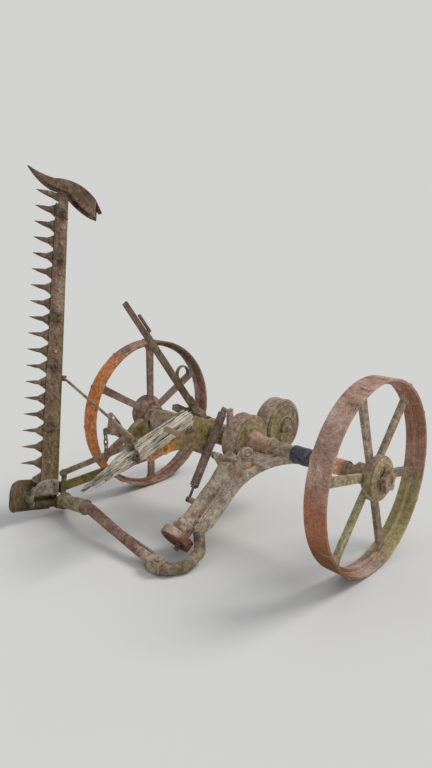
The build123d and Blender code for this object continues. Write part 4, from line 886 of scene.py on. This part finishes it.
# %% Lift chain
LINK_LONG, LINK_WIDE, LINK_BAR = 0.039, 0.025, 0.0037
LINK_COUNT, LINK_DROP = 6, 24.9
clear()
bpy.ops.mesh.primitive_torus_add(major_radius=LINK_WIDE / 2 - LINK_BAR, minor_radius=LINK_BAR,
                                 major_segments=24, minor_segments=10, location=(0, 0, 0),
                                 rotation=(math.radians(90), 0, 0))
link = bpy.context.object
bpy.ops.object.transform_apply(location=True, rotation=True, scale=True)
start_edit()
for end in (1, -1):
    choose(link, lambda centre, normal: centre.z * end > 0.0003)
    bpy.ops.transform.translate(value=(0, 0, end * (LINK_LONG - LINK_WIDE) / 2))
end_edit()
links = [copied(link) for k in range(LINK_COUNT)]
for k, copy in enumerate(links):
    turn = Matrix.Rotation(math.radians(0 if k % 2 else 90), 4, "Z")
    copy.data.transform(Matrix.Translation(mm(483, 422, 421.7 - LINK_DROP * k)) @ turn)
bpy.data.objects.remove(link)
chain = put_on(joined(links), "lift_chain_links", "frame", "rod_iron")
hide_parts("lift_chain")
print("chain has", len(chain.data.polygons), "faces")

# %% [markdown]
# The tape was wound on by hand, so it is ridged and creased. A tube of the tape's size is cut
# into many faces and pushed in and out by a cloudy texture, which gives lumps like bunched
# plastic.

# %% Wrinkled tape
TAPE_R, TAPE_WIDE = 0.0378, 0.097


def cloudy(name, size, depth):
    """A cloudy texture to push a surface with."""
    clouds = bpy.data.textures.new(name, "CLOUDS")
    clouds.noise_scale = size
    clouds.noise_depth = depth
    return clouds


def roughen(piece, clouds, height, middle):
    """Pushes a piece's surface in and out by a cloudy texture."""
    lumps = piece.modifiers.new("lumps", "DISPLACE")
    lumps.texture = clouds
    lumps.strength = height
    lumps.mid_level = middle
    bpy.ops.object.modifier_apply(modifier="lumps")


tape = cylinder(72, TAPE_R, TAPE_WIDE, -TAPE_WIDE / 2)
start_edit()
choose(tape, lambda centre, normal: abs(normal.z) < 0.5)
bpy.ops.mesh.subdivide(number_cuts=14)
end_edit()
roughen(tape, cloudy("bunching", 0.016, 3), 0.0075, 0.5)
tape.data.transform(Matrix.Translation(mm(-340.5, 0, AXLE_Z)) @ Matrix.Rotation(math.radians(90), 4, "Y"))
put_on(tape, "tape_winding", "frame", "black_tape", angle=60)
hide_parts("tape_wrap")
print("tape has", len(tape.data.polygons), "faces")

# %% [markdown]
# The pole broke off in front, and weather opened its grain. Each stick of it is modelled
# squeezed to about a tenth of its length, roughened by a cloudy texture, and pulled out again,
# so the lumps become long grooves. The whole end is a core with slats round it, so the checks
# between them show as dark lines, and the break is a bundle of thin ones with uneven tips.

# %% Splintered pole
SQUEEZE = 0.09
weather = cloudy("weather", 0.0075, 4)


def stick(x0, x1, n0, n1, start, end, tip=1.0, towards=(0.0, 0.0), cuts=12, rough=0.0045):
    """A length of weathered wood between two sides, from start to end along the pole."""
    middle = ((x0 + x1) / 2, (start + end) / 2, (n0 + n1) / 2)
    clear()
    bpy.ops.mesh.primitive_cube_add(size=1, location=middle, scale=(x1 - x0, end - start, n1 - n0))
    piece = bpy.context.object
    bpy.ops.object.transform_apply(location=True, rotation=True, scale=True)
    start_edit()
    choose(piece, lambda centre, normal: normal.y > 0.9)
    bpy.ops.transform.resize(value=(tip, 1, tip), center_override=(middle[0], end, middle[2]))
    bpy.ops.transform.translate(value=(towards[0], 0, towards[1]))
    bpy.ops.mesh.select_all(action="SELECT")
    bpy.ops.mesh.subdivide(number_cuts=cuts)
    bpy.ops.transform.resize(value=(0.001, 0.001 * SQUEEZE, 0.001), center_override=(0, 0, 0))
    end_edit()
    roughen(piece, weather, rough, 0.62)
    piece.data.transform(Matrix.Scale(1 / SQUEEZE, 4, (0, 1, 0)))
    return piece


STICKS = (
    (-30, -9, 8, 30, 340, 470, 0.5, (4, -6)), (-9, 12, 6, 30, 340, 535, 0.5, (-2, -8)),
    (11, 30, 5, 30, 340, 440, 0.6, (-3, -4)), (-30, -12, -14, 8, 340, 570, 0.45, (9, 4)),
    (-12, 10, -12, 6, 340, 600, 0.5, (3, 2)), (9, 30, -16, 6, 340, 585, 0.45, (-10, 4)),
    (-28, 1, -30, -11, 340, 505, 0.5, (4, 8)), (1, 30, -30, -13, 340, 550, 0.5, (-8, 9)),
    (-4, 2, -4, 2, 480, 604, 0.4, (6, -2)), (-20, -13, 9, 15, 400, 545, 0.4, (5, -6)),
    (16, 22, -24, -18, 420, 596, 0.4, (-4, 4)), (-26, -20, -22, -16, 400, 560, 0.4, (6, 6)),
)
# Half widths of the core, of the hollow inside the slats and of the pole, and its whole length
CORE, HOLLOW, SIDE, WHOLE = 25, 16, 31, 350
SPLITS = (-SIDE, -20, -11, 1, 10, 20, SIDE)
DIPS = (0.4, 2.4, 1.0, 3.0, 0.0, 1.8)
bundle = [stick(-CORE, CORE, -CORE, CORE, 0, WHOLE, rough=0.003)]
for k, dip in enumerate(DIPS):
    low, high = SPLITS[k] + 0.7, SPLITS[k + 1] - 0.7
    other = DIPS[(k * 2 + 3) % 6]
    bundle.append(stick(low, high, HOLLOW, SIDE - dip, 0, WHOLE + 2 - 2 * dip, cuts=16))
    bundle.append(stick(low, high, other - SIDE, -HOLLOW, 0, WHOLE - 3 * other))
    bundle.append(stick(dip - SIDE, -HOLLOW, low, high, 0, WHOLE + 2 - 3 * other, cuts=16))
    bundle.append(stick(HOLLOW, SIDE - other, low, high, 0, WHOLE - 2 * dip))
bundle += [stick(*spec, rough=0.004) for spec in STICKS]
pole = joined(bundle)
lay = Matrix((pole_way(1, 0, 0), pole_way(0, 1, 0), pole_way(0, 0, 1))).transposed().to_4x4()
pole.data.transform(Matrix.Translation(on_pole(0, 0, 0)) @ lay)
put_on(pole, "splintered_pole", "frame", "weathered_wood", angle=35)
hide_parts("tongue_stub")
print("pole has", len(pole.data.polygons), "faces")

# %% [markdown]
# Rods, pins and straps are round bars with chamfered ends. The latch rod runs up the hand lever
# inside its small spring, and the pawl's loop stands at its side.

# %% Rods on the lever


def bar(start, end, radius, vertices=14):
    """A round bar between two places with chamfered ends."""
    run = end - start
    return stand(bevelled(cylinder(vertices, radius, run.length), is_end, radius * 0.25, 1), start, run)


latch_rod = bar(on_lever(0, 70, 17), on_lever(0, 566, 17), 0.0035)
latch_turns = [ring(on_lever(0, 92 + 6 * k, 17), lever_way(0, 1, 0), 0.0075, 0.0016, 0.0016, 16)
               for k in range(10)]
put_on(joined([latch_rod] + latch_turns), "lever_latch_rod", "frame", "lever_iron")
stamp(SQUARE, [(on_lever(-6, 40, 0), left, 8), (on_lever(-6, 566, 6), left, 5),
               (on_lever(-6, 120, 0), left, 5), (on_lever(-8, 266, 26), left, 6)],
      "lever_bolts", "frame", "lever_iron")
put_on(joined([ring(on_lever(0, 278, 50), left, 0.033, 0.0042, 0.011, 28),
               bar(on_lever(0, 252, 12), on_lever(0, 296, 12), 0.008),
               bar(on_lever(0, 262, 26), on_lever(0, 238, 8), 0.005)]), "pawl_loop", "frame", "lever_iron")
print("latch rod and loop in place")

# %% [markdown]
# A staple holds the pole where it broke, and a shackle of rings hangs on it. Each knife clip has
# a round lip along one side, in dark rust to paint the shadow line under the clip's curved
# edge; the axle has a cotter, and the arm two raised beads.

# %% Staple, shackle, lips and beads
strap = [bar(on_pole(-31, 332, 33.5), on_pole(31, 332, 33.5), 0.004),
         bar(on_pole(-33.5, 332, 34), on_pole(-33.5, 332, -20), 0.004),
         bar(on_pole(0, 340, 28), on_pole(0, 340, 52), 0.007)]
put_on(joined(strap), "pole_staple", "frame", "rod_iron")
shackle = [ring(on_pole(-12, 338, 46), pole_way(1, 0.3, 0.4), 0.012, 0.0045, 0.0055, 24),
           ring(on_pole(-40, 346, 14), pole_way(1, -0.4, 0.2), 0.011, 0.0042, 0.005, 24),
           bar(on_pole(-40, 336, 4), on_pole(-40, 352, -22), 0.006),
           bar(on_pole(-22, 330, 40), on_pole(4, 345, 52), 0.0055)]
put_on(joined(shackle), "pole_shackle", "frame", "divider_rust")
stamp(SQUARE, [(on_pole(-33, 356, 6), left, 9), (on_pole(10, 330, 34), up, 8)],
      "shackle_bolts", "frame", "divider_rust")
stamp(NUT, [(on_pole(0, 340, 36), pole_way(0, 0, 1), 11), (on_pole(-32, 332, -18), left, 10)],
      "pole_nuts", "frame", "rod_iron")

# Each clip's lip is a thin dark bead that stands for the painted shadow under the clip's edge.
LIP_STEPS = 6
lips = []
for x in CLIPS:
    bend = [on_bar(x - 21 - 7 * math.sin(math.pi * k / LIP_STEPS), 22 - 8 * k, 15.5)
            for k in range(LIP_STEPS + 1)]
    lips += [bar(bend[k], bend[k + 1], 0.0032, 10) for k in range(LIP_STEPS)]
put_on(joined(lips), "clip_shadow_lips", "cutter_bar", "divider_rust")
cotter = bar(mm(-733.5, 8, 398), mm(-733.5, 24, 372), 0.0022, 8)
put_on(cotter, "left_axle_pin", "frame", "worn_steel")
arm_beads = [bar(on_arm(-99, 236, 8), on_arm(-97, 450, 8), 0.006),
             bar(on_arm(-84, 250, 8), on_arm(-82, 455, 8), 0.004)]
put_on(joined(arm_beads), "arm_bead", "frame", "arm_iron")
print("staple, shackle, lips and beads in place")

# %% [markdown]
# The tyre was shrunk on and riveted at each spoke, and there a low ridge crosses the tread. Each
# ridge is a thin bar, sunk for most of its thickness into the iron. The one that the far wheel
# stands on is worn flat.

# %% Ridges across the tyres
TREAD, TREAD_OUT, TREAD_IN = 391.6, 700, 655
for body, side, first, kept, skin in (("left_wheel", -1, 12, (0, 1, 2, 3, 4, 5), "near_wheel_rust"),
                                      ("right_wheel", 1, 31, (0, 1, 2, 3, 5), "far_wheel_rust")):
    ridges = []
    for k in kept:
        turned = math.radians(first + 60 * k)
        ends = [mm(side * x, TREAD * math.cos(angle), AXLE_Z + TREAD * math.sin(angle))
                for x, angle in ((TREAD_OUT, turned - 0.012), (TREAD_IN, turned + 0.012))]
        ridges.append(bar(*ends, 0.0036, 8))
    put_on(joined(ridges), body + "_ridges", body, skin)
print("ridges on both tyres")

# %% [markdown]
# The knife's inner end carries its head, a forged foot with a ball that the crank's rod once
# drove. Here it hangs bare beside the shoe.

# %% Knife head
head = knob(cylinder(16, 0.011, 0.030, -0.015), (
    (0.72, 0.004), (1.0, 0.010), (1.5, 0.004), (1.12, 0.005), (1.0, 0.006), (0.8, 0.005), (0.5, 0.003)))
stand(head, on_bar(64, 35, 20) + Vector((0, 0, 0.015)), bar_way(-0.35, 0.55, 0.35))
put_on(head, "knife_head_ball", "knife", "knife_steel")
print("knife head in place")

# %% [markdown]
# The masters were only patterns, so they leave the scene, and the faces of the whole scene are counted.

# %% Faces, and the end
for model in MASTERS:
    bpy.data.objects.remove(model)
faces = sum(len(o.data.polygons) for o in bpy.data.objects if o.type == "MESH")
print("the whole scene has", faces, "faces")
